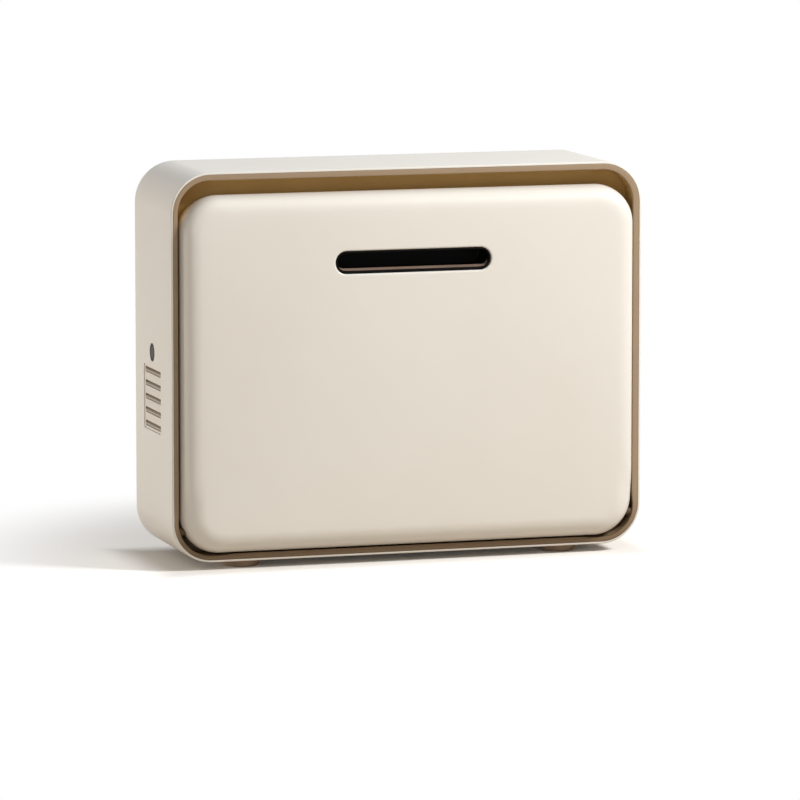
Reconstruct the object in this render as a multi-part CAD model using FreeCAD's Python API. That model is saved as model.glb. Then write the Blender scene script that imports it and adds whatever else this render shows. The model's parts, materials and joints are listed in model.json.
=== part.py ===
import FreeCAD, Part
import math
import os

# Table-top UV sterilizer. Millimetres, +Z up, the door faces -Y.
# The origin is the middle of the footprint, at the underside of the feet.

V = FreeCAD.Vector

# Cabinet
cabinet_width = 300.0
cabinet_height = 237.5
cabinet_depth = 86.0
cabinet_corner = 25.0
sleeve_wall = 1.3
sleeve_front_round = 0.8
sleeve_back_chamfer = 0.9
ledge_height = 2.0
ledge_width = 1.6

# Clearances
seat_gap = 0.15
running_gap = 0.05
press_gap = 0.02
slide_gap = 0.1
overrun = 2.0
tolerance = 0.001
slot_round_share = 0.49

# Front ring and the chamber's mouth
frame_wall = 2.6
frame_chamfer = 0.4
flange_thickness = 3.0
mouth_side_margin = 17.85
mouth_low_margin = 32.0
mouth_high_margin = 32.0
mouth_corner = 3.0
gasket_offset = 1.0
gasket_width = 6.0
gasket_height = 2.7
gasket_gap = 0.3

# Door
door_side_gap = 1.75
door_bottom_gap = 1.2
door_top_gap = 10.05
door_corner = 24.0
door_proud = 10.5
door_edge = 14.0
door_wall = 2.2
cavity_chamfer = 8.5
heel_gap = 1.0
stop_gap = 0.3
stop_length = 24.0
stop_width = 2.5
stop_inset = 38.0
panel_sheet = 0.8
panel_rise = 6.0
panel_boss_radius = 3.2
panel_boss_inset = 10.0
panel_boss_margin = 12.0

# Hinge
hinge_bush_radius = 2.6
hinge_relief = 3.0
hinge_side_gap = 0.4
hinge_pin_radius = 1.4
hinge_pin_hold = 14.0
hinge_pin_reach = 5.0

# Finger slot
slot_length = 96.6
slot_height = 11.7
slot_drop = 42.1
cup_wall = 1.0
cup_throat = 5.0
cup_depth = 20.0
cup_rise = 7.0
cup_corner = 8.0
cup_flange = 4.0
cup_lip = 1.0

# Door catch and interlock
magnet_length = 20.0
magnet_height = 8.0
magnet_depth = 4.0
magnet_inset = 28.0
magnet_drop = 9.0
strike_margin = 1.5
strike_sheet = 1.2
sensor_length = 22.0
sensor_height = 6.0
sensor_depth = 6.0

# Chamber liner
liner_sheet = 0.8
liner_lip = 8.0
air_slot_width = 3.0
air_slot_count = 6
liner_screw_inset = 4.0
liner_screw_margin = 20.0
liner_screw_bite = 2.2

# Lamp
lamp_radius = 8.0
lamp_end_room = 0.35
lamp_drop = 17.0
lamp_back_room = 1.5
lamp_glass = 1.0
cap_length = 12.0
cap_sheet = 0.4
pin_radius = 1.15
pin_spacing = 5.0
pin_length = 6.0
holder_thickness = 9.5
holder_depth = 22.0
holder_round = 3.0
reflector_sheet = 0.6
reflector_top_share = 0.42
reflector_wing_share = 0.19
reflector_fall = 12.0
guard_sheet = 0.8
guard_strap = 3.0
guard_rod_wire = 0.9
guard_clearance = 3.5
guard_hoops = 5
guard_rods = 3

# Wire rack
wire_sides = 8
rack_wire = 1.6
rack_bar_wire = 1.1
rack_margin = 7.0
rack_corner = 8.0
rack_leg = 8.0
rack_bars = 13
rack_leg_inset = 30.0

# Rear cover
cover_inset = 2.4
cover_sheet = 2.0
cover_skirt = 6.0
cover_skirt_wall = 1.6
corner_boss_radius = 4.0
corner_boss_length = 30.0
corner_boss_sink = 0.5
grille_slots = 7
grille_bar = 2.0
board_vent_count = 12
board_vent_width = 2.4
board_vent_height = 16.0
board_vent_pitch = 6.0
board_vent_rise = 12.0

# Fan, heater and cut-out
fan_size = 40.0
fan_corner = 3.0
fan_depth = 10.0
fan_rise = 74.0
fan_rim = 1.2
fan_hole_inset = 4.0
fan_hub_share = 0.215
fan_tip_gap = 0.6
fan_spider = 2.0
fan_arm = 2.6
fan_arms = 3
fan_blades = 7
fan_blade_sheet = 1.0
fan_blade_chord = 7.0
fan_blade_pitch = 42.0
fan_axial_gap = 0.6
fan_shaft_radius = 1.0
fan_bush_radius = 2.6
duct_length = 6.8
duct_wall = 1.2
heater_gap = 0.3
heater_fins = 12
heater_fin = 1.2
heater_border = 2.4
cutout_radius = 7.0
cutout_height = 5.0
cutout_ear = 10.0
cutout_ear_sheet = 1.0

# Screws
screw_radius = 1.5
screw_head_radius = 2.8
screw_head_height = 1.7
screw_pilot_gap = 0.05
screw_hole_gap = 0.25
cover_screw_length = 12.0
panel_screw_length = 9.0
board_screw_length = 5.0

# Feet
foot_height = 5.0
foot_radius = 12.0
foot_taper = 0.8
foot_chamfer = 0.7
foot_spigot_radius = 2.5
foot_side_inset = 48.0
foot_inset = 19.0

# Side button
button_radius = 4.5
button_lift = 0.4
button_travel = 1.0
button_cap_depth = 3.0
button_skirt = 1.0
button_skirt_depth = 1.2
button_stem_radius = 2.0
bezel_wall = 1.0
bezel_flange = 1.4
bezel_flange_depth = 1.2
plunger_radius = 1.7
plunger_length = 3.0
switch_size = 6.0
switch_round = 0.4
switch_depth = 3.5
board_sheet = 1.6
button_board_length = 32.0
button_board_height = 14.0
button_post_radius = 2.8
button_post_spacing = 24.0

# Side vent
vent_length_share = 0.82
vent_margin = 0.9
vent_height = 40.0
vent_rise = 95.5
vent_corner = 2.4
vent_recess = 0.6
vent_plate = 1.2
vent_flange = 1.2
vent_flange_depth = 1.2
vent_rows = 5
vent_pitch = 8.3
vent_slot_height = 3.4
vent_slot_margin = 2.1
vent_blade_sheet = 1.0
vent_blade_depth = 5.0
vent_blade_pitch = 35.0

# Control board
board_length = 140.0
board_corner = 3.0
board_margin = 8.8
standoff_height = 6.0
standoff_radius = 3.0
board_hole_inset = 5.0
transformer_size = (26.0, 22.0, 20.0)
transformer_place_shares = (-0.28, 0.08)
transformer_core = 6.0
relay_size = (19.0, 15.5, 15.0)
relay_place_shares = (0.12, -0.18)
relay_round = 0.9
capacitor_radius = 5.0
capacitor_height = 18.0
capacitor_pitch = 12.5
capacitor_count = 3
capacitor_chamfer = 0.8
capacitor_place_shares = (-0.04, 0.22)
connector_size = (24.0, 8.0, 9.0)
connector_place_shares = (0.34, 0.26)
connector_wall = 1.0
connector_well = 6.0

# Lamp ballast
ballast_length = 84.0
ballast_height = 16.0
ballast_margin = 7.0
ballast_round = 2.0
ballast_foot = 8.0
ballast_foot_sheet = 1.2
ballast_offset = -46.0

# Power inlet
inlet_side_inset = 46.0
inlet_rise = 24.0
inlet_body_width = 24.0
inlet_body_height = 16.0
inlet_body_depth = 20.0
inlet_corner = 3.0
inlet_flange = 3.0
inlet_flange_sheet = 1.5
inlet_well_width = 16.0
inlet_well_height = 8.8
inlet_well_depth = 14.0
inlet_pin_radius = 1.2
inlet_pin_spacing = 8.6
inlet_pin_length = 10.0

# Planes and places worked out from the sizes above
half_width = cabinet_width / 2
floor_z = foot_height
roof_z = foot_height + cabinet_height
rim_y = (door_proud - cabinet_depth) / 2
back_y = rim_y + cabinet_depth
frame_outset = sleeve_wall + seat_gap
frame_inset = frame_outset + frame_wall
door_front = rim_y - door_proud
door_half = half_width - frame_inset - door_side_gap
door_low = floor_z + frame_inset + door_bottom_gap
door_high = roof_z - frame_inset - door_top_gap
hinge_y = door_front + door_edge
hinge_z = door_low + door_edge
flange_front = hinge_y + door_edge + heel_gap
flange_back = flange_front + flange_thickness
door_back = flange_front - gasket_height - gasket_gap
panel_front = door_back - panel_sheet
panel_low = hinge_z + panel_rise
mouth_half = half_width - frame_inset - mouth_side_margin
mouth_low = floor_z + frame_inset + mouth_low_margin
mouth_high = roof_z - frame_inset - mouth_high_margin
cover_back = back_y - cover_inset
cover_front = cover_back - cover_sheet
fan_front = cover_front - fan_depth
liner_back_y = fan_front - duct_length
liner_end = liner_back_y - liner_sheet
fan_z = floor_z + fan_rise
fan_bore_radius = fan_size / 2 - fan_rim
fan_hole_spacing = fan_size - 2 * fan_hole_inset
fan_hub_radius = fan_size * fan_hub_share
chamber_depth = liner_end - flange_back
reflector_top = chamber_depth * reflector_top_share
reflector_wing = chamber_depth * reflector_wing_share
lamp_y = liner_end - lamp_back_room - reflector_wing - reflector_top / 2
lamp_length = 2 * (mouth_half - mouth_corner - lamp_end_room - holder_thickness - seat_gap)
lamp_z = mouth_high - lamp_drop
slot_z = door_high - slot_drop
magnet_z = door_high - magnet_drop
magnet_x = mouth_half - magnet_inset
stop_x = mouth_half - stop_inset
board_low = floor_z + sleeve_wall + standoff_height
board_top = board_low + board_sheet
board_y = (flange_back + cover_front) / 2
board_width = cover_front - flange_back - 2 * board_margin
left_wall = -half_width + sleeve_wall
ledge_y = (flange_back + seat_gap, flange_back + seat_gap + ledge_width)
vent_front = ledge_y[1] + vent_margin + vent_flange
vent_length = (cover_front - cover_skirt - vent_flange - vent_front) * vent_length_share
vent_y = vent_front + vent_length / 2
vent_z = floor_z + vent_rise
bezel_radius = button_radius + slide_gap + bezel_wall
button_z = vent_z + vent_height / 2 + vent_flange + button_lift + bezel_radius + bezel_flange
inlet_x = half_width - inlet_side_inset
inlet_z = floor_z + inlet_rise
foot_x = half_width - foot_side_inset
foot_places = {
    "foot_front_left": (-foot_x, rim_y + foot_inset),
    "foot_front_right": (foot_x, rim_y + foot_inset),
    "foot_rear_left": (-foot_x, back_y - foot_inset),
    "foot_rear_right": (foot_x, back_y - foot_inset),
}


def span(centre, size):
    return (centre - size / 2, centre + size / 2)


def both_sides(half):
    return (-half, half)


def block(x_span, y_span, z_span):
    sizes = [high - low for low, high in (x_span, y_span, z_span)]
    return Part.makeBox(*sizes, V(x_span[0], y_span[0], z_span[0]))


def rod(radius, start, end):
    way = end - start
    return Part.makeCylinder(radius, way.Length, start, way)


def wire_bar(radius, start, end):
    # Bar with flat sides, for wires that repeat
    way = end - start
    across = V(1, 0, 0) if abs(way.x) < tolerance else V(0, 1, 0)
    upright = across.cross(way).normalize()
    corners = []
    for index in range(wire_sides):
        turn = 2 * math.pi / wire_sides * (index + 0.5)
        corners.append(start + (across * math.cos(turn) + upright * math.sin(turn)) * radius)
    return Part.Face(Part.makePolygon(corners + corners[:1])).extrude(way)


def rounded_wire(u_span, v_span, radius, place):
    # Rounded rectangle of four arcs and the lines between them, set in space by place(u, v)
    centres = [
        (u_span[1] - radius, v_span[1] - radius),
        (u_span[0] + radius, v_span[1] - radius),
        (u_span[0] + radius, v_span[0] + radius),
        (u_span[1] - radius, v_span[0] + radius),
    ]
    arcs = []
    for quarter, (u, v) in enumerate(centres):
        turns = [math.pi / 2 * quarter + math.pi / 4 * step for step in range(3)]
        arcs.append([place(u + radius * math.cos(t), v + radius * math.sin(t)) for t in turns])
    edges = []
    for arc, following in zip(arcs, arcs[1:] + arcs[:1]):
        edges.append(Part.Arc(*arc).toShape())
        if arc[2].distanceToPoint(following[0]) > tolerance:
            edges.append(Part.makeLine(arc[2], following[0]))
    return Part.Wire(edges)


def front_block(x_span, y_span, z_span, radius):
    wire = rounded_wire(x_span, z_span, radius, lambda u, v: V(u, y_span[0], v))
    return Part.Face(wire).extrude(V(0, y_span[1] - y_span[0], 0))


def side_block(x_span, y_span, z_span, radius):
    wire = rounded_wire(y_span, z_span, radius, lambda u, v: V(x_span[0], u, v))
    return Part.Face(wire).extrude(V(x_span[1] - x_span[0], 0, 0))


def flat_block(x_span, y_span, z_span, radius):
    wire = rounded_wire(x_span, y_span, radius, lambda u, v: V(u, v, z_span[0]))
    return Part.Face(wire).extrude(V(0, 0, z_span[1] - z_span[0]))


def cabinet_block(inset, y_span):
    # The cabinet's rounded outline, drawn in by inset on every side
    x_span = both_sides(half_width - inset)
    return front_block(x_span, y_span, (floor_z + inset, roof_z - inset), cabinet_corner - inset)


def mouth_block(grow, y_span):
    # The chamber mouth's outline, grown by grow on every side
    z_span = (mouth_low - grow, mouth_high + grow)
    return front_block(both_sides(mouth_half + grow), y_span, z_span, mouth_corner + grow)


def edges_at(shape, axis, level):
    def lies_there(edge):
        return all(abs(getattr(vertex.Point, axis) - level) < tolerance for vertex in edge.Vertexes)

    return [edge for edge in shape.Edges if lies_there(edge)]


def fused(first, others):
    return first.fuse(list(others)).removeSplitter()


def hinge_rod(radius, x_start, x_end):
    return rod(radius, V(x_start, hinge_y, hinge_z), V(x_end, hinge_y, hinge_z))


def screw(seat, way, length):
    # Cheese-head screw: seat is the underside of its head, way points along its shank
    axis = V(way).normalize()
    shank = rod(screw_radius, seat, seat + axis * length)
    return fused(shank, [rod(screw_head_radius, seat, seat - axis * screw_head_height)])


def corner_boss_places():
    reach = cabinet_corner - sleeve_wall - corner_boss_radius + corner_boss_sink
    step = reach / math.sqrt(2)
    x = half_width - cabinet_corner + step
    low = floor_z + cabinet_corner - step
    high = roof_z - cabinet_corner + step
    return [(-x, low), (x, low), (x, high), (-x, high)]


def standoff_places():
    x = board_length / 2 - board_hole_inset
    y = board_width / 2 - board_hole_inset
    return [(sx * x, board_y + sy * y) for sx in (-1, 1) for sy in (-1, 1)]


def button_post_places():
    return [vent_y + side * button_post_spacing / 2 for side in (-1, 1)]


def button_layers():
    # Planes of the button's stack, from the cabinet's skin inwards
    bezel_back = left_wall + bezel_flange_depth
    cap_back = bezel_back + slide_gap + button_skirt_depth
    switch_front = cap_back + button_travel + plunger_length / 2
    return bezel_back, cap_back, switch_front, switch_front + switch_depth


def outer_sleeve():
    body = cabinet_block(0, (rim_y, back_y))
    body = body.makeFillet(sleeve_front_round, edges_at(body, "y", rim_y))
    body = body.makeChamfer(sleeve_back_chamfer, edges_at(body, "y", back_y))
    body = body.cut(cabinet_block(sleeve_wall, (rim_y - overrun, back_y + overrun)))
    ledge_hole = (ledge_y[0] - overrun, ledge_y[1] + overrun)
    ledge = cabinet_block(sleeve_wall / 2, ledge_y).cut(
        cabinet_block(sleeve_wall + ledge_height, ledge_hole)
    )
    added = [ledge]
    removed = []
    for x, z in corner_boss_places():
        end = V(x, cover_front, z)
        added.append(rod(corner_boss_radius, end - V(0, corner_boss_length, 0), end))
        pilot = screw_radius + screw_pilot_gap
        removed.append(rod(pilot, end - V(0, cover_screw_length, 0), end + V(0, overrun, 0)))
    for x, y in standoff_places():
        base = V(x, y, floor_z + sleeve_wall / 2)
        added.append(rod(standoff_radius, base, V(x, y, board_low)))
        low = board_top - board_screw_length - seat_gap
        removed.append(rod(screw_radius + screw_pilot_gap, V(x, y, low), V(x, y, board_low + overrun)))
    board_x = button_layers()[3]
    for y in button_post_places():
        foot = V(left_wall - sleeve_wall / 2, y, button_z)
        added.append(rod(button_post_radius, foot, V(board_x, y, button_z)))
        deep = board_x + board_sheet - board_screw_length - seat_gap
        pilot = V(deep, y, button_z)
        removed.append(rod(screw_radius + screw_pilot_gap, pilot, V(board_x + overrun, y, button_z)))
    through = (-half_width - overrun, left_wall + overrun)
    opening = side_block(
        through, span(vent_y, vent_length), span(vent_z, vent_height), vent_corner
    )
    start = V(through[0], vent_y, button_z)
    end = V(left_wall + overrun / 2, vent_y, button_z)
    removed += [opening, rod(bezel_radius + seat_gap, start, end)]
    for x, y in foot_places.values():
        hole = V(x, y, floor_z - overrun)
        removed.append(rod(foot_spigot_radius + slide_gap, hole, hole + V(0, 0, sleeve_wall + 2 * overrun)))
    return fused(body, added).cut(removed)


def front_ring():
    # Trim that lines the cabinet's front, bored at each side for a hinge bush
    ring = cabinet_block(frame_outset, (rim_y, flange_front))
    ring = ring.cut(cabinet_block(frame_inset, (rim_y - overrun, flange_front + overrun)))
    ring = ring.makeChamfer(frame_chamfer, edges_at(ring, "y", rim_y))
    bore = hinge_bush_radius + press_gap
    return ring.cut([hinge_rod(bore, s * mouth_half, s * half_width) for s in (-1, 1)])


def mouth_flange():
    # Four strips behind the ring that leave the chamber's mouth open
    y_span = (flange_front, flange_back)
    plate = cabinet_block(frame_outset, y_span)
    across = both_sides(half_width)
    areas = [block(across, y_span, z_span) for z_span in ((floor_z, mouth_low), (mouth_high, roof_z))]
    for x_span in ((-half_width, -mouth_half), (mouth_half, half_width)):
        areas.append(block(x_span, y_span, (mouth_low, mouth_high)))
    cuts = [plate_block(s, seat_gap) for s in (-1, 1)]
    for x, z in liner_screw_places():
        deep = V(x, flange_back - liner_screw_bite - seat_gap, z)
        cuts.append(rod(screw_radius + screw_pilot_gap, deep, V(x, flange_back + overrun, z)))
    return Part.makeCompound([plate.common(area).cut(cuts) for area in areas])


def hinge_bush(side):
    # Tube let into the front ring's wall, in which the door's pin turns
    inner = side * (door_half - hinge_relief)
    bore = hinge_rod(hinge_pin_radius + running_gap, inner - side * overrun, side * half_width)
    tube = hinge_rod(hinge_bush_radius, inner, side * half_width).cut(bore)
    return tube.common(cabinet_block(frame_outset, (rim_y, flange_front)))


def plate_block(side, grow):
    # Strike plate let into the flange behind a magnet, grown by grow for its pocket
    x_span = span(side * magnet_x, magnet_length + 2 * (strike_margin + grow))
    z_span = span(magnet_z, magnet_height + 2 * (strike_margin + grow))
    front = flange_front - (overrun if grow else 0)
    return block(x_span, (front, flange_front + strike_sheet), z_span)


def strike_plates():
    return Part.makeCompound([plate_block(s, 0) for s in (-1, 1)])


def door_gasket():
    y_span = (flange_front - gasket_height, flange_front)
    hole = (y_span[0] - overrun, y_span[1] + overrun)
    ring = mouth_block(gasket_offset + gasket_width, y_span)
    return ring.cut(mouth_block(gasket_offset, hole))


def liner_screw_places():
    x = mouth_half + liner_screw_inset
    high = mouth_high + liner_screw_inset
    low = mouth_low - liner_screw_inset
    levels = (mouth_low + liner_screw_margin, mouth_high - liner_screw_margin)
    side = [(s * x, z) for s in (-1, 1) for z in levels]
    return side + [(0, high), (0, low)]


def liner_sheets(z_low, z_high):
    # What lies between two levels of the sheet wrap round the chamber, whose lip screws to the flange
    wrap = mouth_block(liner_sheet, (flange_back, liner_end))
    lip = mouth_block(liner_lip, (flange_back, flange_back + liner_sheet))
    wrap = fused(wrap, [lip]).cut(mouth_block(0, (flange_back - overrun, liner_end + overrun)))
    cuts = []
    for x, z in liner_screw_places():
        hole = V(x, flange_back - overrun, z)
        cuts.append(rod(screw_radius + screw_hole_gap, hole, hole + V(0, liner_sheet + 2 * overrun, 0)))
    return wrap.cut(cuts).common(block(both_sides(half_width), (flange_back, liner_end), (z_low, z_high)))


def liner_floor():
    return liner_sheets(floor_z, mouth_low + mouth_corner)


def liner_sides():
    return liner_sheets(mouth_low + mouth_corner, mouth_high - mouth_corner)


def liner_ceiling():
    return liner_sheets(mouth_high - mouth_corner, roof_z)


def liner_back():
    # Sheet that closes the wrap, with upright slots for the warm air
    plate = mouth_block(liner_sheet, (liner_end, liner_back_y))
    inner = fan_size - 2 * duct_wall - 2 * heater_border
    pitch = inner / air_slot_count
    slots = []
    for index in range(air_slot_count):
        x = -inner / 2 + pitch * (index + 0.5)
        y_span = (liner_end - overrun, liner_back_y + overrun)
        slots.append(block(span(x, air_slot_width), y_span, span(fan_z, inner)))
    return plate.cut(slots)


def liner_screws():
    seat = flange_back + liner_sheet
    length = liner_sheet + liner_screw_bite
    return Part.makeCompound([screw(V(x, seat, z), V(0, -1, 0), length) for x, z in liner_screw_places()])


def lamp_rod(radius, x_start, x_end):
    return rod(radius, V(x_start, lamp_y, lamp_z), V(x_end, lamp_y, lamp_z))


def uv_tube():
    half = lamp_length / 2 - cap_sheet
    bore = half - lamp_radius
    return lamp_rod(lamp_radius, -half, half).cut(lamp_rod(lamp_radius - lamp_glass, -bore, bore))


def tube_end_caps():
    caps = []
    for side in (-1, 1):
        end = side * lamp_length / 2
        inner = side * (lamp_length / 2 - cap_sheet)
        cap = lamp_rod(lamp_radius + seat_gap + cap_sheet, end - side * cap_length, end)
        cap = cap.cut(lamp_rod(lamp_radius + seat_gap, end - side * (cap_length + overrun), inner))
        pin_x = (end - side * cap_sheet / 2, end + side * pin_length)
        pins = [lamp_pin(pin_radius, *pin_x, z) for z in (-1, 1)]
        caps.append(fused(cap, pins))
    return Part.makeCompound(caps)


def lamp_pin(radius, x_start, x_end, side):
    z = lamp_z + side * pin_spacing / 2
    return rod(radius, V(x_start, lamp_y, z), V(x_end, lamp_y, z))


def lamp_holder(side):
    face = side * (lamp_length / 2 + seat_gap)
    x_span = sorted((face, face + side * holder_thickness))
    z_span = (lamp_z - holder_depth / 2, mouth_high)
    body = side_block(x_span, span(lamp_y, holder_depth), z_span, holder_round)
    end = face + side * pin_length
    holes = [lamp_pin(pin_radius + slide_gap, face - side * overrun, end, z) for z in (-1, 1)]
    return body.cut(holes)


def lamp_reflector():
    # Folded sheet: a flat top under the ceiling and two wings that fall away from it
    half = reflector_top / 2
    wing = half + reflector_wing
    upper = [(-wing, -reflector_fall), (-half, 0), (half, 0), (wing, -reflector_fall)]
    lower = [(y, z - reflector_sheet) for y, z in reversed(upper)]
    x = -lamp_length / 2 + cap_length
    points = [V(x, lamp_y + y, mouth_high + z) for y, z in upper + lower]
    return Part.Face(Part.makePolygon(points + points[:1])).extrude(V(-2 * x, 0, 0))


def guard_hoop(x, inner, outer, top):
    # U-shaped strap under the lamp, with a straight leg up from each end of its half ring
    def at(y, z):
        return V(x - guard_strap / 2, lamp_y + y, z)

    bends = []
    for radius in (outer, inner):
        arc = Part.Arc(at(-radius, lamp_z), at(0, lamp_z - radius), at(radius, lamp_z))
        bends.append(arc.toShape())
    legs = []
    for side in (-1, 1):
        corners = [(outer, lamp_z), (outer, top), (inner, top), (inner, lamp_z)]
        legs.append(Part.makePolygon([at(side * y, z) for y, z in corners]))
    outline = Part.__sortEdges__([edge for shape in bends + legs for edge in shape.Edges])
    return Part.Face(Part.Wire(outline)).extrude(V(guard_strap, 0, 0))


def lamp_guard():
    # Strap hoops that hang under the reflector round the lamp, tied by long rods inside them
    inner = lamp_radius + guard_clearance
    outer = inner + guard_sheet
    slope = reflector_fall / reflector_wing
    top = mouth_high - reflector_sheet - (outer - reflector_top / 2) * slope - slide_gap
    reach = lamp_length - 2 * cap_length - guard_strap
    pitch = reach / (guard_hoops - 1)
    hoops = [guard_hoop(pitch * index - reach / 2, inner, outer, top) for index in range(guard_hoops)]
    half = (reach + guard_strap) / 2
    rods = []
    for index in range(guard_rods):
        turn = math.pi * (1 + (index + 1) / (guard_rods + 1))
        y = lamp_y + inner * math.cos(turn)
        z = lamp_z + inner * math.sin(turn)
        rods.append(wire_bar(guard_rod_wire, V(-half, y, z), V(half, y, z)))
    return fused(hoops[0], hoops[1:] + rods)


def wire_rack():
    # Closed outer frame on short legs, with bars across it from front to back
    x_half = mouth_half - rack_margin
    y_span = (flange_back + rack_margin, liner_end - rack_margin)
    z = mouth_low + rack_leg
    middle = (y_span[0] + y_span[1]) / 2
    depth = y_span[1] - y_span[0]

    def frame_block(grow, z_span):
        y_grown = span(middle, depth + 2 * grow)
        return flat_block(both_sides(x_half + grow), y_grown, z_span, rack_corner + grow)

    hole = frame_block(-rack_wire, span(z, 2 * rack_wire + overrun))
    rack = frame_block(rack_wire, span(z, 2 * rack_wire)).cut(hole)
    pitch = 2 * x_half / (rack_bars + 1)
    pieces = []
    for index in range(rack_bars):
        x = -x_half + pitch * (index + 1)
        pieces.append(wire_bar(rack_bar_wire, V(x, y_span[0], z), V(x, y_span[1], z)))
    under = z - rack_bar_wire
    pieces.append(wire_bar(rack_bar_wire, V(-x_half, middle, under), V(x_half, middle, under)))
    for x in both_sides(x_half - rack_leg_inset):
        for y in y_span:
            pieces.append(wire_bar(rack_wire, V(x, y, mouth_low), V(x, y, z)))
    return fused(rack, pieces)


def rear_cover():
    inset = sleeve_wall + seat_gap
    plate = cabinet_block(inset, (cover_front, cover_back))
    skirt_y = (cover_front - cover_skirt, cover_front + cover_sheet / 2)
    skirt = cabinet_block(inset, skirt_y)
    skirt = skirt.cut(cabinet_block(inset + cover_skirt_wall, (skirt_y[0] - overrun, skirt_y[1] + overrun)))
    for x, z in corner_boss_places():
        start = V(x, skirt_y[0] - overrun, z)
        skirt = skirt.cut(rod(corner_boss_radius + cover_skirt_wall, start, V(x, cover_front, z)))
    cuts = []
    through = (cover_front - overrun, cover_back + overrun)
    for x, z in corner_boss_places():
        cuts.append(rod(screw_radius + screw_hole_gap, V(x, through[0], z), V(x, through[1], z)))
    for x, z in fan_hole_places():
        cuts.append(rod(screw_radius + screw_hole_gap, V(x, through[0], z), V(x, through[1], z)))
    cuts += grille_cuts(through)
    for index in range(board_vent_count):
        x = board_vent_pitch * (index - (board_vent_count - 1) / 2)
        z_low = floor_z + board_vent_rise
        z_span = (z_low, z_low + board_vent_height)
        cuts.append(block(span(x, board_vent_width), through, z_span))
    well_x = span(inlet_x, inlet_body_width + 2 * seat_gap)
    cuts.append(front_block(well_x, through, span(inlet_z, inlet_body_height + 2 * seat_gap), inlet_corner))
    return fused(plate, [skirt]).cut(cuts)


def grille_cuts(through):
    # Level slots that fill the circle in front of the fan, each as long as the circle is wide there
    pitch = 2 * fan_bore_radius / grille_slots
    slot = pitch - grille_bar
    cuts = []
    for index in range(grille_slots):
        z = pitch * (index - (grille_slots - 1) / 2)
        reach = math.sqrt(fan_bore_radius ** 2 - (abs(z) + slot / 2) ** 2)
        cuts.append(block(both_sides(reach), through, span(fan_z + z, slot)))
    return cuts


def rear_cover_screws():
    way = V(0, -1, 0)
    return Part.makeCompound(
        [screw(V(x, cover_back, z), way, cover_screw_length) for x, z in corner_boss_places()]
    )


def fan_hole_places():
    half = fan_hole_spacing / 2
    return [(x, fan_z + z) for x in both_sides(half) for z in both_sides(half)]


def fan_rod(radius, y_start, y_end):
    return rod(radius, V(0, y_start, fan_z), V(0, y_end, fan_z))


def fan_frame():
    y_span = (fan_front, cover_front)
    body = front_block(span(0, fan_size), y_span, span(fan_z, fan_size), fan_corner)
    body = body.cut(fan_rod(fan_bore_radius, fan_front - overrun, cover_front + overrun))
    spider_y = (cover_front - fan_spider, cover_front)
    added = [fan_rod(fan_hub_radius, *spider_y)]
    for index in range(fan_arms):
        arm = block(span(0, fan_arm), spider_y, (fan_z, fan_z + (fan_bore_radius + fan_size / 2) / 2))
        added.append(arm.rotated(V(0, 0, fan_z), V(0, 1, 0), 360 / fan_arms * (index + 0.5)))
    added.append(fan_rod(fan_bush_radius, fan_front + fan_depth / 2, cover_front))
    cuts = [fan_rod(fan_shaft_radius + running_gap, fan_front, cover_front + overrun)]
    for x, z in fan_hole_places():
        hole = V(x, fan_front - overrun, z)
        cuts.append(rod(screw_radius + screw_pilot_gap, hole, V(x, cover_front + overrun, z)))
    return fused(body, added).cut(cuts)


def fan_blade():
    # Flat blade that stands out from the hub, turned by its pitch
    middle = fan_front + fan_depth / 2 - fan_spider / 2
    z_span = (fan_z + fan_hub_radius - fan_spider / 2, fan_z + fan_bore_radius - fan_tip_gap)
    blade = block(span(0, fan_blade_sheet), span(middle, fan_blade_chord), z_span)
    return blade.rotated(V(0, middle, fan_z), V(0, 0, 1), -fan_blade_pitch)


def fan_rotor():
    front = fan_front + fan_axial_gap
    back = cover_front - fan_spider - fan_axial_gap
    hub = fan_rod(fan_hub_radius, front, back)
    hub = hub.makeChamfer(fan_axial_gap, edges_at(hub, "y", front))
    well = front + fan_spider
    hub = hub.cut(fan_rod(fan_hub_radius - fan_spider, well, back + overrun))
    blade = fan_blade()
    pieces = [fan_rod(fan_shaft_radius, front, cover_front - fan_spider / 2)]
    for index in range(fan_blades):
        pieces.append(blade.rotated(V(0, 0, fan_z), V(0, 1, 0), 360 / fan_blades * index))
    return fused(hub, pieces)


def fan_screws():
    length = cover_sheet + fan_depth - fan_spider
    way = V(0, -1, 0)
    return Part.makeCompound([screw(V(x, cover_back, z), way, length) for x, z in fan_hole_places()])


def heater_duct():
    y_span = (liner_back_y, fan_front)
    duct = front_block(span(0, fan_size), y_span, span(fan_z, fan_size), fan_corner)
    inner = fan_size - 2 * duct_wall
    hole = (y_span[0] - overrun, y_span[1] + overrun)
    return duct.cut(front_block(span(0, inner), hole, span(fan_z, inner), fan_corner - duct_wall))


def heater_block():
    inner = fan_size - 2 * duct_wall - 2 * heater_gap
    y_span = (liner_back_y + heater_gap, fan_front - heater_gap)
    body = front_block(span(0, inner), y_span, span(fan_z, inner), fan_corner - duct_wall)
    open_width = inner - 2 * heater_border
    pitch = open_width / heater_fins
    hole = (y_span[0] - overrun, y_span[1] + overrun)
    cuts = []
    for index in range(heater_fins):
        x = -open_width / 2 + pitch * (index + 0.5)
        for z in both_sides(open_width / 4):
            height = open_width / 2 - heater_border
            cuts.append(block(span(x, pitch - heater_fin), hole, span(fan_z + z, height)))
    return body.cut(cuts)


def thermal_cutout():
    z = fan_z + fan_size / 2 + cutout_radius + cutout_ear
    seat = V(0, liner_back_y, z)
    ears = front_block(
        span(0, 2 * (cutout_radius + cutout_ear)),
        (liner_back_y, liner_back_y + cutout_ear_sheet),
        span(z, cutout_ear),
        cutout_ear * slot_round_share,
    )
    return fused(rod(cutout_radius, seat, seat + V(0, cutout_height, 0)), [ears])


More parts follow.
